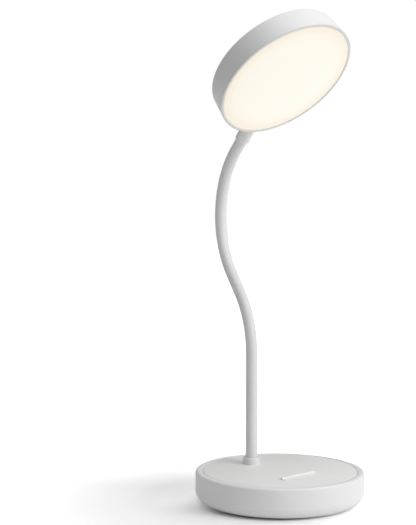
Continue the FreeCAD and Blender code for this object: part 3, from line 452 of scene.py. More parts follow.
def turned_metal(name, color, roughness, centre=(0, 0, 0), turn=(0, 0, 0)):
    """Bright metal faced on a lathe: its tool marks are rings round its axis."""
    material, tree, shader = new_material(name, Metallic=1.0)
    rings = add_node(tree, "CombineXYZ", {"X": radius_from(tree, centre, turn)})
    marks = use_group(tree, machined_metal, {
        "Point": rings.outputs["Vector"], "Color": (*color, 1.0), "Roughness": roughness,
        "Depth": 0.5})
    link_surface(tree, shader, marks["Color"], marks["Roughness"], marks["Normal"])
    return material


# ------------------------------------------------------------ mesh helpers

def new_object(name, data):
    made = bpy.data.objects.new(name, data)
    bpy.context.scene.collection.objects.link(made)
    return made


def verts_of(items):
    return [item for item in items if isinstance(item, bmesh.types.BMVert)]


def draw_outline(mesh, corners, closed):
    """Edges through (across, up) corners; a third number rounds the corner."""
    points = [mesh.verts.new((c[0] * MM, 0.0, c[1] * MM)) for c in corners]
    for first, second in zip(points, points[1:]):
        mesh.edges.new((first, second))
    if closed:
        mesh.edges.new((points[-1], points[0]))
    for point, corner in zip(points, corners):
        if len(corner) > 2:
            bmesh.ops.bevel(mesh, geom=[point], offset=corner[2] * MM, offset_type="OFFSET",
                            segments=max(3, round(corner[2] * 3)), profile=0.5,
                            affect="VERTICES", material=-1)


def turned_mesh(corners, steps=ROUND_STEPS):
    """A body of revolution about Z, from an outline given in mm."""
    mesh = bmesh.new()
    on_axis = corners[0][0] == 0 and corners[-1][0] == 0
    draw_outline(mesh, corners, closed=not on_axis)
    bmesh.ops.spin(mesh, geom=mesh.verts[:] + mesh.edges[:], cent=(0, 0, 0),
                   axis=(0, 0, 1), dvec=(0, 0, 0), angle=math.tau, steps=steps,
                   use_merge=True, use_duplicate=False)
    bmesh.ops.remove_doubles(mesh, verts=mesh.verts, dist=TOUCHING)
    return mesh


def move_mesh(mesh, place):
    bmesh.ops.transform(mesh, matrix=place, verts=mesh.verts)
    return mesh


def rod_mesh(radius, low, high, place, steps=SMALL_STEPS):
    """A plain rod along Z, put in its place."""
    rod = turned_mesh([(0, low), (radius, low), (radius, high), (0, high)], steps)
    return move_mesh(rod, place)


def boss_mesh(bore, radius, low, high, place):
    """A screw boss with its bore, rounded at its open end."""
    boss = turned_mesh([(bore, low), (radius, low, BOSS_ROUND), (radius, high), (bore, high)],
                       SMALL_STEPS)
    return move_mesh(boss, place)


def add_mesh(mesh, other):
    """Puts a second closed shell into a mesh."""
    loose = bpy.data.meshes.new("shell")
    other.to_mesh(loose)
    other.free()
    mesh.from_mesh(loose)
    bpy.data.meshes.remove(loose)


def mark_sharp_edges(mesh):
    for edge in mesh.edges:
        edge.smooth = not edge.is_manifold or edge.calc_face_angle() < SHARP_ANGLE


def shade(mesh):
    """Turns the faces outwards and shades them smooth between the sharp edges."""
    bmesh.ops.recalc_face_normals(mesh, faces=mesh.faces)
    for face in mesh.faces:
        face.smooth = True
    mark_sharp_edges(mesh)


def make_piece(name, mesh, material, place=Matrix()):
    """Makes a finished piece of a mesh, with its place in the mesh."""
    move_mesh(mesh, place)
    shade(mesh)
    data = bpy.data.meshes.new(name)
    mesh.to_mesh(data)
    mesh.free()
    piece = new_object(name, data)
    data.materials.append(material)
    return piece


def carve(piece, cutters):
    """Cuts closed meshes out of a piece and leaves one plain mesh."""
    for mesh in cutters:
        bmesh.ops.recalc_face_normals(mesh, faces=mesh.faces)
        data = bpy.data.meshes.new("cutter")
        mesh.to_mesh(data)
        mesh.free()
        cutter = new_object("cutter", data)
        modifier = piece.modifiers.new("cut", "BOOLEAN")
        modifier.operation = "DIFFERENCE"
        modifier.solver = "EXACT"
        modifier.object = cutter
        graph = bpy.context.evaluated_depsgraph_get()
        carved = bpy.data.meshes.new_from_object(piece.evaluated_get(graph))
        piece.modifiers.clear()
        piece.data = carved
        bpy.data.objects.remove(cutter)
    mesh = bmesh.new()
    mesh.from_mesh(piece.data)
    bmesh.ops.remove_doubles(mesh, verts=mesh.verts, dist=TOUCHING)
    mark_sharp_edges(mesh)
    mesh.to_mesh(piece.data)
    mesh.free()
    piece.data.name = piece.name


def at(x, y, z):
    return Matrix.Translation(Vector((x, y, z)) * MM)


def about_z(angle):
    return Matrix.Rotation(angle, 4, "Z")


def on_circle(radius, angle):
    return at(radius * math.cos(angle), radius * math.sin(angle), 0)


TO_Y = Matrix.Rotation(-math.pi / 2, 4, "X")  # turns +Z to +Y


def radial(turn, height):
    """The frame whose +Z leads outwards along a radius of the base."""
    return about_z(turn) @ at(0, 0, height) @ TO_Y


# ------------------------------------------------------------ the neck's line

NECK_FRAME = at(0, NECK_FOOT, 0) @ about_z(NECK_YAW)


def neck_stretches():
    """Straight and round stretches: (start, length, radius, sense, spot, lean)."""
    lengths = [
        (NECK_RISE - BASE_TOP, 0.0, 0),
        (LOW_BEND * NECK_LEAN, LOW_BEND, 1),
        (MIDDLE_RUN, 0.0, 0),
        (HIGH_BEND * (NECK_LEAN + HEAD_PITCH), HIGH_BEND, -1),
        (TOP_RUN, 0.0, 0),
    ]
    found = []
    start, spot, lean = 0.0, Vector((0, 0, BASE_TOP)), 0.0
    for length, radius, sense in lengths:
        found.append((start, length, radius, sense, spot.copy(), lean))
        spot, lean = point_on(found[-1], start + length)
        start += length
    return found


def bend_middle(stretch):
    _, _, radius, sense, spot, lean = stretch
    return spot + Vector((0, math.cos(lean), -math.sin(lean))) * radius * sense


def point_on(stretch, distance):
    """The point and the lean at a distance along the neck, within one stretch."""
    start, _, radius, sense, spot, lean = stretch
    if not radius:
        return spot + Vector((0, math.sin(lean), math.cos(lean))) * (distance - start), lean
    here = lean + sense * (distance - start) / radius
    across = Vector((0, math.cos(here), -math.sin(here)))
    return bend_middle(stretch) - across * radius * sense, here


STRETCHES = neck_stretches()
NECK_END = STRETCHES[-1][0] + STRETCHES[-1][1]


def along_neck(distance):
    """The point and the lean at any distance along the neck."""
    for stretch in STRETCHES:
        if distance <= stretch[0] + stretch[1]:
            break
    return point_on(stretch, distance)


def station(distance):
    """The frame at a distance along the neck, its +Z along the neck."""
    spot, lean = along_neck(distance)
    return at(*spot) @ Matrix.Rotation(-lean, 4, "X")


HEAD = (NECK_FRAME @ station(NECK_END) @ about_z(HEAD_TWIST)
        @ at(0, -COLLAR_DEPTH, COLLAR_REACH))
HEAD_TURNED = HEAD @ TO_Y
HEAD_CENTRE = tuple(HEAD @ Vector((0, 0, 0)))
HEAD_TURN = tuple(HEAD_TURNED.to_3x3().inverted().to_euler("XYZ"))


# ------------------------------------------------------------ finishes

WHITE = (0.80, 0.80, 0.80)
HEAD_WHITE = (0.765, 0.765, 0.765)
# The bezel's grey is in part painted shade on the head's down-facing front.
BEZEL_GREY_AND_SHADE = (0.655, 0.65, 0.61)
BEZEL_FACE = (0.40, 0.55)  # depth in mm where the grey gives way to white
RED_SKIN = (0.42, 0.02, 0.015)
BLACK_SKIN = (0.015, 0.015, 0.016)
TONGUE_BLACK = (0.02, 0.02, 0.022)
CONTACT_GOLD = (0.85, 0.6, 0.22)
LED_WHITE = (0.82, 0.81, 0.78)
LED_PHOSPHOR = (0.86, 0.62, 0.10)
BRIGHT_STEEL = (0.62, 0.62, 0.63)

white_shell = moulded_plastic("white_shell", WHITE, roughness=0.56, grain=2400.0, depth=0.22)
white_head = moulded_plastic("white_head", HEAD_WHITE, roughness=0.56, grain=2400.0,
                             depth=0.22)
# The cover is the shell's plastic; its lighter white is painted light on the base's top.
white_cover_and_light = moulded_plastic("white_cover_and_light", (0.855, 0.855, 0.85), roughness=0.55,
                              grain=2100.0, depth=0.3)
white_trim = moulded_plastic("white_trim", (0.76, 0.76, 0.76), roughness=0.42,
                             grain=3000.0, depth=0.15, marks=0.3)
white_button = moulded_plastic("white_button", WHITE, roughness=0.38, grain=3400.0,
                               depth=0.12, marks=0.9)
soft_sleeve = moulded_plastic("soft_sleeve", (0.74, 0.74, 0.74), roughness=0.58,
                              grain=1800.0, depth=0.28, marks=0.7, tone=0.03,
                              Sheen_Weight=0.08, Sheen_Roughness=0.5)
dark_plastic = moulded_plastic("dark_plastic", (0.035, 0.036, 0.04), roughness=0.45,
                               grain=1500.0, depth=0.4)
chip_resin = moulded_plastic("chip_resin", (0.02, 0.02, 0.021), roughness=0.4,
                             grain=3600.0, depth=0.3)
reflector_film = moulded_plastic("reflector_film", (0.88, 0.88, 0.87), roughness=0.28,
                                 grain=5200.0, depth=0.1, marks=0.1)
charge_lens = moulded_plastic("charge_lens", (0.70, 0.72, 0.70), roughness=0.2,
                              grain=4000.0, depth=0.05, marks=0.2,
                              Transmission_Weight=0.35, IOR=1.49)


def make_rubber():
    """The foot pad: dark, dull, with rings moulded into it."""
    material, tree, shader = new_material("foot_rubber", Specular_IOR_Level=0.3)
    plain = grained(tree, object_point(tree), (0.055, 0.055, 0.058), grain=1100.0,
                    depth=0.8, tone=0.08, roughness=0.82)
    turns = math_node(tree, "MULTIPLY", radius_from(tree), math.tau / (PAD_RIB_PITCH * MM))
    rings = math_node(tree, "SINE", turns)
    link_surface(tree, shader, plain["Color"], plain["Roughness"],
                 bump(tree, rings, strength=0.5, distance=0.15, Normal=plain["Normal"]))
    return material


def make_bezel_grey_and_shade():
    """Satin grey on the ring's face, in part painted shade on the head's front, which faces
    down away from the light; its side is as white as the wall behind it.
    """
    material = moulded_plastic("bezel_grey_and_shade", BEZEL_GREY_AND_SHADE, roughness=0.34, grain=3000.0,
                               depth=0.1, marks=0.2)
    tree = material.node_tree
    shader = tree.nodes["Principled BSDF"]
    face_color = shader.inputs["Base Color"].links[0].from_socket
    behind_face = axes(tree, object_point(tree, HEAD_CENTRE, HEAD_TURN))["Z"]
    side = map_range(tree, behind_face, *(depth * MM for depth in BEZEL_FACE))
    painted = add_node(tree, "MixRGB", {"Fac": side, "Color1": face_color,
                                        "Color2": (*HEAD_WHITE, 1.0)})
    link_inputs(tree, shader, {"Base Color": painted.outputs["Color"]})
    return material


def make_lit_opal():
    """The lit diffuser: near white in the middle, a warmer band towards its rim."""
    material, tree, shader = new_material("lit_opal", Emission_Strength=1.0)
    radius = radius_from(tree, HEAD_CENTRE, HEAD_TURN)
    share = math_node(tree, "DIVIDE", radius, BEZEL_INSIDE * MM)
    cloud = math_node(tree, "SUBTRACT", noise(tree, object_point(tree), 22.0, 1.0), 0.5)
    glow = color_ramp(tree, math_node(tree, "MULTIPLY_ADD", cloud, 0.08, share), [
        (0.0, (0.838, 0.805, 0.710)), (0.70, (0.838, 0.805, 0.710)),
        (0.84, (0.850, 0.790, 0.690)), (0.93, (0.815, 0.745, 0.625)),
        (1.0, (0.800, 0.740, 0.625))])
    plain = grained(tree, object_point(tree), (0.08, 0.079, 0.077), grain=3200.0,
                    depth=0.12, tone=0.01, roughness=0.6)
    link_surface(tree, shader, plain["Color"], plain["Roughness"], plain["Normal"])
    link_inputs(tree, shader, {"Emission Color": glow})
    return material


def make_clear_acrylic():
    """The light guide, with a matrix of fine scattering dots."""
    material, tree, shader = new_material("clear_acrylic", Transmission_Weight=0.85, IOR=1.49)
    point = object_point(tree, HEAD_CENTRE, HEAD_TURN)
    dots = add_node(tree, "TexVoronoi", {"Vector": point, "Scale": 700.0, "Randomness": 0.2})
    clear = map_range(tree, dots.outputs["Distance"], 0.22, 0.3)
    color = color_ramp(tree, clear, [(0.0, (0.95, 0.95, 0.93)), (1.0, (0.86, 0.89, 0.9))])
    link_surface(tree, shader, color, map_range(tree, clear, low=0.6, high=0.08))
    return material


def make_circuit_board(name, mask_color, copper_color, pitch):
    """Solder mask with the slight relief of the copper lines under it."""
    material, tree, shader = new_material(name, Coat_Weight=0.4, Coat_Roughness=0.2)
    point = object_point(tree)
    blocks = add_node(tree, "TexVoronoi", {"Vector": point, "Scale": 1.0 / (pitch * MM)},
                      distance="CHEBYCHEV", feature="F1")
    lines = map_range(tree, blocks.outputs["Distance"], 0.36, 0.40)
    color = color_ramp(tree, lines, [(0.0, mask_color), (1.0, copper_color)])
    rough = map_range(tree, noise(tree, point, 3000.0), low=0.28, high=0.45)
    link_surface(tree, shader, color, rough, bump(tree, lines, strength=0.4, distance=0.04))
    return material


def make_pouch_foil():
    """The battery's laminated foil: satin silver with soft creases, darker in their hollows:
    painted shade.
    """
    material, tree, shader = new_material("pouch_foil", Metallic=0.9)
    point = object_point(tree)
    crease = noise(tree, point, 120.0, 5.0, Distortion=1.5)
    fine = noise(tree, point, 2500.0)
    height = math_node(tree, "MULTIPLY_ADD", fine, 0.15, crease)
    # Darker where the creases are low: painted shade in their hollows.
    color = color_ramp(tree, crease, [(0.3, (0.55, 0.56, 0.58)), (0.7, (0.72, 0.73, 0.75))])
    link_surface(tree, shader, color, map_range(tree, fine, low=0.3, high=0.5),
                 bump(tree, height, strength=0.35, distance=0.3))
    return material


def make_foam():
    """Adhesive foam: open cells in dark grey, darker in the cells' hollows: painted shade."""
    material, tree, shader = new_material("adhesive_foam", Specular_IOR_Level=0.2)
    cells = add_node(tree, "TexVoronoi", {"Vector": object_point(tree), "Scale": 2200.0})
    depth = cells.outputs["Distance"]
    # Darkest at the bottom of each cell: painted shade in its hollow.
    color = color_ramp(tree, depth, [(0.0, (0.02, 0.02, 0.022)), (0.6, (0.075, 0.075, 0.08))])
    link_surface(tree, shader, color, map_range(tree, depth, low=0.95, high=0.8),
                 bump(tree, depth, strength=0.9, distance=0.15))
    return material


def make_wire_pair(name, centre_x):
    """Two insulated wires, a red and a black one, told apart by their side."""
    material, tree, shader = new_material(name)
    point = object_point(tree)
    side = math_node(tree, "GREATER_THAN", axes(tree, point)["X"], centre_x * MM)
    color = color_ramp(tree, side, [(0.0, RED_SKIN), (1.0, BLACK_SKIN)], "CONSTANT")
    marked = use_group(tree, handling_marks, {"Point": point, "Color": color,
                                              "Roughness": 0.38, "Amount": 0.8})
    skin = use_group(tree, mould_grain, {"Point": point, "Grain": 4000.0, "Depth": 0.2})
    link_surface(tree, shader, marked["Color"], marked["Roughness"], skin["Normal"])
    return material


def make_led_body():
    """Small LEDs: a yellow phosphor window in a white body."""
    material, tree, shader = new_material("led_body", Coat_Weight=0.5, Coat_Roughness=0.1)
    radius = radius_from(tree, HEAD_CENTRE, HEAD_TURN)
    inner = math_node(tree, "LESS_THAN", radius, LED_WINDOW * MM)
    color = color_ramp(tree, inner, [(0.0, LED_WHITE), (1.0, LED_PHOSPHOR)], "CONSTANT")
    grain = noise(tree, object_point(tree), 5000.0)
    link_surface(tree, shader, color, map_range(tree, grain, low=0.3, high=0.55),
                 bump(tree, grain, strength=0.3, distance=0.02))
    return material


def make_contact_tongue():
    """The inlet's tongue: black, with a row of gold contacts on each face."""
    material, tree, shader = new_material("contact_tongue")
    point = object_point(tree)
    split = axes(tree, point)
    turns = math_node(tree, "MULTIPLY", split["X"], 1.0 / (CONTACT_PITCH * MM))
    stripe = math_node(tree, "LESS_THAN", math_node(tree, "FRACT", turns), 0.5)
    reach = math_node(tree, "ABSOLUTE", split["X"])
    width = math_node(tree, "LESS_THAN", reach, CONTACT_SPREAD * MM)
    front = math_node(tree, "GREATER_THAN", split["Y"], TONGUE_BARE * MM)
    contact = math_node(tree, "MULTIPLY", math_node(tree, "MULTIPLY", stripe, width), front)
    color = color_ramp(tree, contact, [(0.0, TONGUE_BLACK), (1.0, CONTACT_GOLD)], "CONSTANT")
    skin = use_group(tree, mould_grain, {"Point": point, "Grain": 3000.0, "Depth": 0.3})
    link_surface(tree, shader, color, map_range(tree, contact, low=0.5, high=0.25),
                 skin["Normal"])
    link_inputs(tree, shader, {"Metallic": contact})
    return material


foot_rubber = make_rubber()
bezel_grey_and_shade = make_bezel_grey_and_shade()
lit_opal = make_lit_opal()
green_board = make_circuit_board("green_board", (0.012, 0.10, 0.045), (0.02, 0.16, 0.07),
                                 pitch=2.2)
white_strip = make_circuit_board("white_strip", (0.80, 0.80, 0.78), (0.72, 0.72, 0.68),
                                 pitch=1.4)
led_body = make_led_body()
plated_steel = cut_metal("plated_steel", BRIGHT_STEEL, roughness=0.3)
link_steel = cut_metal("link_steel", (0.50, 0.50, 0.51), roughness=0.38, scale=(6, 6, 1))
inlet_steel = cut_metal("inlet_steel", (0.60, 0.60, 0.61), roughness=0.25, scale=(8, 1, 8))

CAD_FINISHES = {
    "bottom_plate": dark_plastic,
    "base_screws": plated_steel,
    "ballast_disc": turned_metal("turned_steel", (0.42, 0.42, 0.43), roughness=0.42),
    "battery_pad": make_foam(),
    "battery_pack": make_pouch_foil(),
    "battery_lead": make_wire_pair("battery_wires", centre_x=0.0),
    "control_board": green_board,
    "board_chips": chip_resin,
    "board_screws": plated_steel,
    "inlet_tongue": make_contact_tongue(),
    "tact_switch": dark_plastic,
    "charge_led": led_body,
    "neck_washer": turned_metal("turned_washer", BRIGHT_STEEL, roughness=0.3,
                                centre=(0, NECK_FOOT * MM, 0)),
    "neck_nut": plated_steel,
    "lamp_lead": make_wire_pair("lamp_wires", centre_x=0.0),
    "collar_nut": plated_steel,
    "light_guide": make_clear_acrylic(),
    "reflector_sheet": reflector_film,
    "led_strip": white_strip,
    "led_chips": led_body,
    "metal_tray": turned_metal("spun_aluminium", (0.78, 0.78, 0.79), roughness=0.36,
                               centre=HEAD_CENTRE, turn=HEAD_TURN),
    "tray_screws": plated_steel,
    "head_lead": make_wire_pair("head_wires", centre_x=-0.8),
    "core_root": link_steel,
    "core_tip": link_steel,
}
for number in range(1, JOINTS):
    CAD_FINISHES[f"core_link_{number}"] = link_steel


def dress_cad_nodes():
    for name, material in CAD_FINISHES.items():
        for slot in nodes[name].material_slots:
            slot.material = material


# ------------------------------------------------------------ the base

def stadium_mesh(width, height, low, high, inner_skin=0.0):
    """A bar of oval section along Y; with a skin it is an open sleeve."""
    mesh = bmesh.new()
    half_flat = (width - height) / 2
    for shrink in ([0.0, inner_skin] if inner_skin else [0.0]):
        ring = bmesh.ops.create_circle(mesh, segments=SMALL_STEPS, cap_ends=not inner_skin,
                                       radius=(height / 2 - shrink) * MM)["verts"]
        bmesh.ops.rotate(mesh, verts=ring,
                         matrix=Matrix.Rotation(math.pi / SMALL_STEPS, 3, "Z"))
        right = [v for v in ring if v.co.x > 0]
        left = [v for v in ring if v.co.x < 0]
        bmesh.ops.translate(mesh, verts=right, vec=(half_flat * MM, 0, 0))
        bmesh.ops.translate(mesh, verts=left, vec=(-half_flat * MM, 0, 0))
    move_mesh(mesh, at(0, low, 0) @ TO_Y)
    if inner_skin:
        bmesh.ops.bridge_loops(mesh, edges=mesh.edges[:])
    grown = bmesh.ops.extrude_face_region(mesh, geom=mesh.faces[:])
    bmesh.ops.translate(mesh, verts=verts_of(grown["geom"]), vec=(0, (high - low) * MM, 0))
    return move_mesh(mesh, at(0, 0, INLET_HEIGHT))


def make_base_shell():
    shell = make_piece("base_shell_piece", turned_mesh([
        (PLATE_OPENING, SHELL_LOW, HEEL_ROUND),
        (BASE_RADIUS, SHELL_LOW, BOTTOM_ROUND),
        (BASE_RADIUS, BASE_TOP, TOP_ROUND),
        (COVER_RECESS, BASE_TOP, RIM_ROUND),
        (COVER_RECESS, COVER_LOW),
        (LEDGE_RADIUS, COVER_LOW),
        (LEDGE_RADIUS, LEDGE_LOW),
        (WALL_INSIDE, LEDGE_LOW),
        (WALL_INSIDE, SHELF_TOP + SHELL_SLOPE),
        (WALL_INSIDE - SHELL_SLOPE, SHELF_TOP),
        (SHELF_RADIUS, SHELF_TOP),
        (SHELF_RADIUS, SHELF_LOW),
        (PLATE_OPENING, SHELF_LOW),
    ]), white_shell)
    inlet_slot = stadium_mesh(INLET_WIDTH + 2 * INLET_GAP, INLET_THICK + 2 * INLET_GAP,
                              CUT_FROM, CUT_TO)
    button_hole = rod_mesh(BUTTON_RADIUS + BUTTON_GAP, CUT_FROM, CUT_TO,
                           radial(BUTTON_TURN, SIDE_HEIGHT))
    light_hole = rod_mesh(LIGHT_RADIUS + LIGHT_GAP, CUT_FROM, CUT_TO,
                          radial(LIGHT_TURN, SIDE_HEIGHT), TINY_STEPS)
    carve(shell, [inlet_slot, button_hole, light_hole])
    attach(shell, "base")
    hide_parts("base_shell")


def lip_mesh():
    """The phone rest's lip: a straight back, a soft crest and a hollow ramp."""
    mesh = bmesh.new()
    crest = LIP_BACK - LIP_CREST
    toe = crest - LIP_RAMP
    root = BASE_TOP - LIP_SUNK
    top = BASE_TOP + LIP_HEIGHT
    draw_outline(mesh, [
        (LIP_BACK, root),
        (LIP_BACK, top, LIP_BACK_ROUND),
        (crest, top, LIP_ROUND),
        (crest - RAMP_START, top - RAMP_DROP, LIP_ROUND),
        (toe, BASE_TOP),
        (toe, root),
    ], closed=True)
    face = bmesh.ops.contextual_create(mesh, geom=mesh.edges[:])["faces"]
    grown = bmesh.ops.extrude_face_region(mesh, geom=face)
    bmesh.ops.translate(mesh, verts=verts_of(grown["geom"]), vec=(0, LIP_WIDTH * MM, 0))
    upper = [edge for edge in mesh.edges
             if abs(edge.verts[0].co.y - edge.verts[1].co.y) < TOUCHING
             and min(edge.verts[0].co.z, edge.verts[1].co.z) > (root * MM + TOUCHING)]
    bmesh.ops.bevel(mesh, geom=upper, offset=LIP_ROUND * MM, offset_type="OFFSET",
                    segments=3, profile=0.5, affect="EDGES", clamp_overlap=True, material=-1)
    return move_mesh(mesh, at(LIP_MIDDLE + LIP_WIDTH / 2, 0, 0) @ about_z(math.pi / 2))


def make_top_cover():
    cover = make_piece("top_cover_piece", turned_mesh([
        (0, COVER_LOW),
        (COVER_FLANGE, COVER_LOW),
        (COVER_FLANGE, BASE_TOP - GROOVE_DEPTH),
        (COVER_RADIUS, BASE_TOP - GROOVE_DEPTH),
        (COVER_RADIUS, BASE_TOP, COVER_ROUND),
        (0, BASE_TOP),
    ]), white_cover_and_light)
    carve(cover, [rod_mesh(NECK_HOLE, COVER_LOW - CUT_SPARE, BASE_TOP + CUT_SPARE,
                           at(0, NECK_FOOT, 0))])
    mesh = bmesh.new()
    for quarter in range(4):
        angle = math.pi / 4 + quarter * math.pi / 2
        add_mesh(mesh, boss_mesh(BOSS_BORE, BOSS_RADIUS, PLATE_TOP, COVER_LOW + BOSS_SUNK,
                                 on_circle(BOSS_CIRCLE, angle)))
    add_mesh(mesh, lip_mesh())
    shade(mesh)
    mesh.from_mesh(cover.data)
    mesh.to_mesh(cover.data)
    mesh.free()
    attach(cover, "base")
    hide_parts("top_cover")


def make_foot_pad():
    corners = [(0, 0)]
    for start in PAD_GROOVES:
        end = start + PAD_GROOVE_WIDTH
        corners += [(start, 0), (start, PAD_GROOVE_DEPTH), (end, PAD_GROOVE_DEPTH), (end, 0)]
    corners += [(PAD_RADIUS, 0, PAD_ROUND), (PAD_RADIUS, PAD_THICK), (0, PAD_THICK)]
    pad = make_piece("foot_pad_piece", turned_mesh(corners), foot_rubber)
    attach(pad, "base")
    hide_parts("foot_pad")


def make_button():
    flange_front = BUTTON_BACK + FLANGE_THICK
    mesh = turned_mesh([
        (0, PLUNGER_END),
        (PLUNGER_RADIUS, PLUNGER_END, PLUNGER_ROUND),
        (PLUNGER_RADIUS, BUTTON_BACK),
        (FLANGE_RADIUS, BUTTON_BACK),
        (FLANGE_RADIUS, flange_front, FLANGE_ROUND),
        (BUTTON_RADIUS, flange_front),
        (BUTTON_RADIUS, BASE_RADIUS + BUTTON_PROUD, BUTTON_ROUND),
        (BUTTON_RADIUS - BUTTON_RIM, BASE_RADIUS + BUTTON_DISH[0]),
        (0, BASE_RADIUS + BUTTON_DISH[1]),
    ], SMALL_STEPS)
    button = make_piece("power_button_piece", mesh, white_button,
                        radial(BUTTON_TURN, SIDE_HEIGHT))
    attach(button, "power_button")
    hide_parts("power_button")


def make_charge_window():
    mesh = turned_mesh([
        (0, LIGHT_END),
        (LIGHT_RADIUS, LIGHT_END),
        (LIGHT_RADIUS, BASE_RADIUS, LIGHT_ROUND),
        (0, BASE_RADIUS),
    ], SMALL_STEPS)
    window = make_piece("charge_window_piece", mesh, charge_lens,
                        radial(LIGHT_TURN, SIDE_HEIGHT))
    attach(window, "base")
    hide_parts("charge_window")


def make_inlet():
    mesh = stadium_mesh(INLET_WIDTH, INLET_THICK, INLET_MOUTH - INLET_LENGTH, INLET_MOUTH,
                        INLET_SKIN)
    inlet = make_piece("usb_c_inlet_piece", mesh, inlet_steel)
    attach(inlet, "base")
    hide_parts("usb_c_inlet")


# ------------------------------------------------------------ the neck

def make_foot_ring():
    ring_top = BASE_TOP + RING_HEIGHT
    seat = BASE_TOP + SLEEVE_FOOT
    mesh = turned_mesh([
        (CORE_BORE, STUD_LOW),
        (STUD_RADIUS, STUD_LOW, STUD_ROUND),
        (STUD_RADIUS, BASE_TOP),
        (RING_RADIUS, BASE_TOP),
        (RING_RADIUS, ring_top, RING_ROUND),
        (SLEEVE_SOCKET, ring_top, RING_LINING_ROUND),
        (SLEEVE_SOCKET, seat),
        (CORE_BORE, seat),
    ], RING_STEPS)
    ring = make_piece("neck_foot_ring_piece", mesh, white_trim,
                      at(0, NECK_FOOT, 0))
    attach(ring, "base")
    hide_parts("neck_foot_ring")


def sleeve_mesh(low, high):
    """A tube along the neck from one distance to another, swept stretch by stretch."""
    mesh = bmesh.new()
    for radius in (SLEEVE_RADIUS, SLEEVE_LINING):
        bmesh.ops.create_circle(mesh, segments=TUBE_STEPS, radius=radius * MM,
                                cap_ends=False, matrix=station(low))
    first = mesh.edges[:]
    edges = first
    for stretch in STRETCHES:
        start = max(low, stretch[0])
        end = min(high, stretch[0] + stretch[1])
        if end - start < TOUCHING:
            continue
        steps = max(2, round((end - start) / SWEEP_STEP))
        _, _, radius, sense, _, lean = stretch
        if radius:
            swept = bmesh.ops.spin(
                mesh, geom=edges, cent=bend_middle(stretch) * MM, axis=(-sense, 0, 0),
                dvec=(0, 0, 0), angle=(end - start) / radius, steps=steps,
                use_merge=False, use_duplicate=False)
            edges = [e for e in swept["geom_last"] if isinstance(e, bmesh.types.BMEdge)]
            continue
        step = Vector((0, math.sin(lean), math.cos(lean))) * ((end - start) / steps * MM)
        for _ in range(steps):
            grown = bmesh.ops.extrude_edge_only(mesh, edges=edges)["geom"]
            ring = verts_of(grown)
            bmesh.ops.translate(mesh, verts=ring, vec=step)
            edges = [item for item in grown if isinstance(item, bmesh.types.BMEdge)
                     and item.verts[0] in ring and item.verts[1] in ring]
    bmesh.ops.bridge_loops(mesh, edges=first)
    bmesh.ops.bridge_loops(mesh, edges=edges)
    return mesh


def make_sleeves():
    """The sleeve in lengths that meet half-way between joints, each round one joint."""
    for number in range(JOINTS):
        joint = FIRST_JOINT + JOINT_STEP * number
        low = joint - JOINT_STEP / 2
        high = joint + JOINT_STEP / 2
        covered = [f"sleeve_link_{number}"]
        if number == 0:
            low = SLEEVE_FOOT
            covered = ["sleeve_root"]
        if number == JOINTS - 1:
            high = NECK_END - COLLAR_LENGTH + SLEEVE_SUNK
            covered.append("sleeve_tip")
        sleeve = make_piece(f"sleeve_{number}", sleeve_mesh(low, high), soft_sleeve,
                            NECK_FRAME)
        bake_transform(sleeve)
        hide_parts(*covered)


# ------------------------------------------------------------ the head

HEAD_FRONT = HEAD_RADIUS - HEAD_TAPER * BEZEL_THICK / HEAD_THICK


def make_head_housing():
    mesh = turned_mesh([
        (HEAD_MOUTH, BEZEL_THICK),
        (HEAD_FRONT, BEZEL_THICK, SEAM_ROUND),
        (HEAD_RADIUS - HEAD_TAPER, HEAD_THICK, HEAD_BACK_ROUND),
        (0, HEAD_THICK),
        (0, HEAD_FLOOR),
        (HEAD_INSIDE, HEAD_FLOOR, HEAD_INSIDE_ROUND),
        (HEAD_INSIDE, DIFFUSER_BACK),
        (HEAD_MOUTH, DIFFUSER_BACK),
    ])
    for third in range(3):
        angle = -math.pi / 2 - third * math.tau / 3
        add_mesh(mesh, boss_mesh(TRAY_BOSS_BORE, TRAY_BOSS_RADIUS, TRAY_BOSS_LOW,
                                 TRAY_BOSS_TOP, on_circle(TRAY_BOSS_CIRCLE, angle)))
    housing = make_piece("head_housing_piece", mesh, white_head, HEAD_TURNED)
    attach(housing, "head")
    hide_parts("head_housing")


def make_bezel():
    mesh = turned_mesh([
        (BEZEL_INSIDE, 0, BEZEL_INNER_ROUND),
        (HEAD_RADIUS, 0, BEZEL_ROUND),
        (HEAD_FRONT, BEZEL_THICK, SEAM_ROUND),
        (BEZEL_INSIDE, BEZEL_THICK),
    ])
    bezel = make_piece("bezel_ring_piece", mesh, bezel_grey_and_shade, HEAD_TURNED)
    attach(bezel, "head")
    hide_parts("bezel_ring")


def make_diffuser():
    mesh = turned_mesh([
        (0, DIFFUSER_FACE),
        (DIFFUSER_RADIUS, DIFFUSER_FACE, DIFFUSER_ROUND),
        (DIFFUSER_RADIUS, BEZEL_THICK),
        (DIFFUSER_FLANGE, BEZEL_THICK),
        (DIFFUSER_FLANGE, DIFFUSER_BACK),
        (0, DIFFUSER_BACK),
    ])
    diffuser = make_piece("diffuser_piece", mesh, lit_opal, HEAD_TURNED)
    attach(diffuser, "head")
    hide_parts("diffuser")


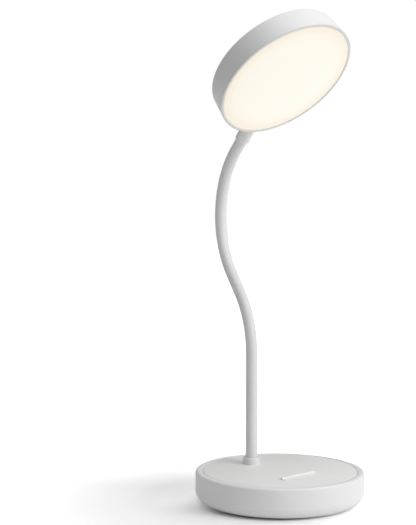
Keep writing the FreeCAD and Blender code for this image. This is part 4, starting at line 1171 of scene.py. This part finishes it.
def make_collar():
    low = -(COLLAR_REACH + COLLAR_LENGTH)
    shoulder = COLLAR_SUNK - COLLAR_REACH
    stud_end = COLLAR_STUD_END - COLLAR_REACH
    mesh = turned_mesh([
        (SLEEVE_SOCKET, low, COLLAR_LINING_ROUND),
        (COLLAR_RADIUS, low, COLLAR_ROUND),
        (COLLAR_RADIUS, shoulder),
        (COLLAR_STUD, shoulder),
        (COLLAR_STUD, stud_end, COLLAR_LINING_ROUND),
        (COLLAR_BORE, stud_end),
        (COLLAR_BORE, -COLLAR_REACH),
        (CORE_BORE, -COLLAR_REACH),
        (CORE_BORE, low + COLLAR_SEAT),
        (SLEEVE_SOCKET, low + COLLAR_SEAT),
    ], RING_STEPS)
    collar = make_piece("head_collar_piece", mesh, white_trim,
                        HEAD @ at(0, COLLAR_DEPTH, 0))
    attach(collar, "head")
    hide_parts("head_collar")


# ------------------------------------------------------------ stage and light

def rays_seen(tree, *kinds):
    """1 for rays of these kinds, such as those from the camera, and 0 for others."""
    path = add_node(tree, "LightPath")
    seen = path.outputs[f"Is {kinds[0]} Ray"]
    for kind in kinds[1:]:
        seen = math_node(tree, "MAXIMUM", seen, path.outputs[f"Is {kind} Ray"])
    return seen


def glow_step(tree, value, start, end, share):
    """A soft step of the floor's glow: none at start, all its share at end."""
    return map_range(tree, value, start, end, 0.0, share, interpolation_type="SMOOTHSTEP")


def painted_floor_shading(tree):
    """Painted light and shade on the floor: rings of glow that leave painted shade round the
    base, with more painted light on its right, behind and in front.
    """
    radius = radius_from(tree)
    place = axes(tree, object_point(tree, turn=(0, 0, STAGE_TURN)))
    across, away = place["X"], place["Y"]
    close = math_node(tree, "ADD", glow_step(tree, away, *GLOW_BEHIND),
                      glow_step(tree, away, *GLOW_FRONT))
    total = math_node(tree, "MULTIPLY", close, glow_step(tree, radius, *GLOW_WINDOW))
    for value, step in ((across, GLOW_RIGHT), (radius, GLOW_NEAR), (radius, GLOW_FAR),
                        (away, GLOW_BACKDROP)):
        total = math_node(tree, "ADD", total, glow_step(tree, value, *step))
    return total


def make_floor():
    """A pale floor that glows where it is seen, with painted shade round the base and painted
    light beside it, and keeps the lamp's shadow.
    """
    mesh = bmesh.new()
    bmesh.ops.create_grid(mesh, x_segments=1, y_segments=1, size=FLOOR_REACH)
    data = bpy.data.meshes.new("floor")
    mesh.to_mesh(data)
    mesh.free()
    floor = new_object("floor", data)
    material = bpy.data.materials.new("floor_white")
    material.use_nodes = True
    tree = material.node_tree
    tree.nodes.clear()
    seen = rays_seen(tree, "Camera", "Glossy", "Transmission")
    lit = add_node(tree, "BsdfDiffuse", {"Color": (FLOOR_GREY, FLOOR_GREY, FLOOR_GREY, 1.0)})
    strength = math_node(tree, "MULTIPLY", seen, painted_floor_shading(tree))
    glow = add_node(tree, "Emission", {"Color": (1, 1, 1, 1), "Strength": strength})
    both = add_node(tree, "AddShader", {0: lit.outputs[0], 1: glow.outputs[0]})
    add_node(tree, "OutputMaterial", {"Surface": both.outputs[0]})
    data.materials.append(material)


def make_world():
    """White where it is seen, and a dimmer even light on everything."""
    world = bpy.data.worlds.new("studio")
    bpy.context.scene.world = world
    world.use_nodes = True
    tree = world.node_tree
    seen = rays_seen(tree, "Camera", "Transmission")
    strength = math_node(tree, "MULTIPLY_ADD", seen, 1.0 - WORLD_LIGHT, WORLD_LIGHT)
    link_inputs(tree, tree.nodes["Background"], {"Color": (1, 1, 1, 1),
                                                 "Strength": strength})


def make_lamp(name, spot, size, power):
    light = bpy.data.lights.new(name, "AREA")
    light.size = size
    light.energy = power
    lamp = new_object(name, light)
    lamp.location = spot
    aim = Vector(LAMP_AIM) - Vector(spot)
    lamp.rotation_euler = aim.to_track_quat("-Z", "Y").to_euler()


def make_camera():
    data = bpy.data.cameras.new("camera")
    data.sensor_width = FILM_WIDTH
    data.lens = CAMERA_LENS
    camera = new_object("camera", data)
    camera.location = CAMERA_PLACE
    camera.rotation_euler = (math.pi / 2 - CAMERA_DIP, 0.0, CAMERA_TURN)
    bpy.context.scene.camera = camera


dress_cad_nodes()
make_foot_pad()
make_base_shell()
make_top_cover()
make_button()
make_charge_window()
make_inlet()
make_foot_ring()
make_sleeves()
make_head_housing()
make_bezel()
make_diffuser()
make_collar()

make_floor()
make_world()
for lamp in LAMPS:
    make_lamp(*lamp)
make_camera()
bpy.context.scene.view_settings.view_transform = "Standard"
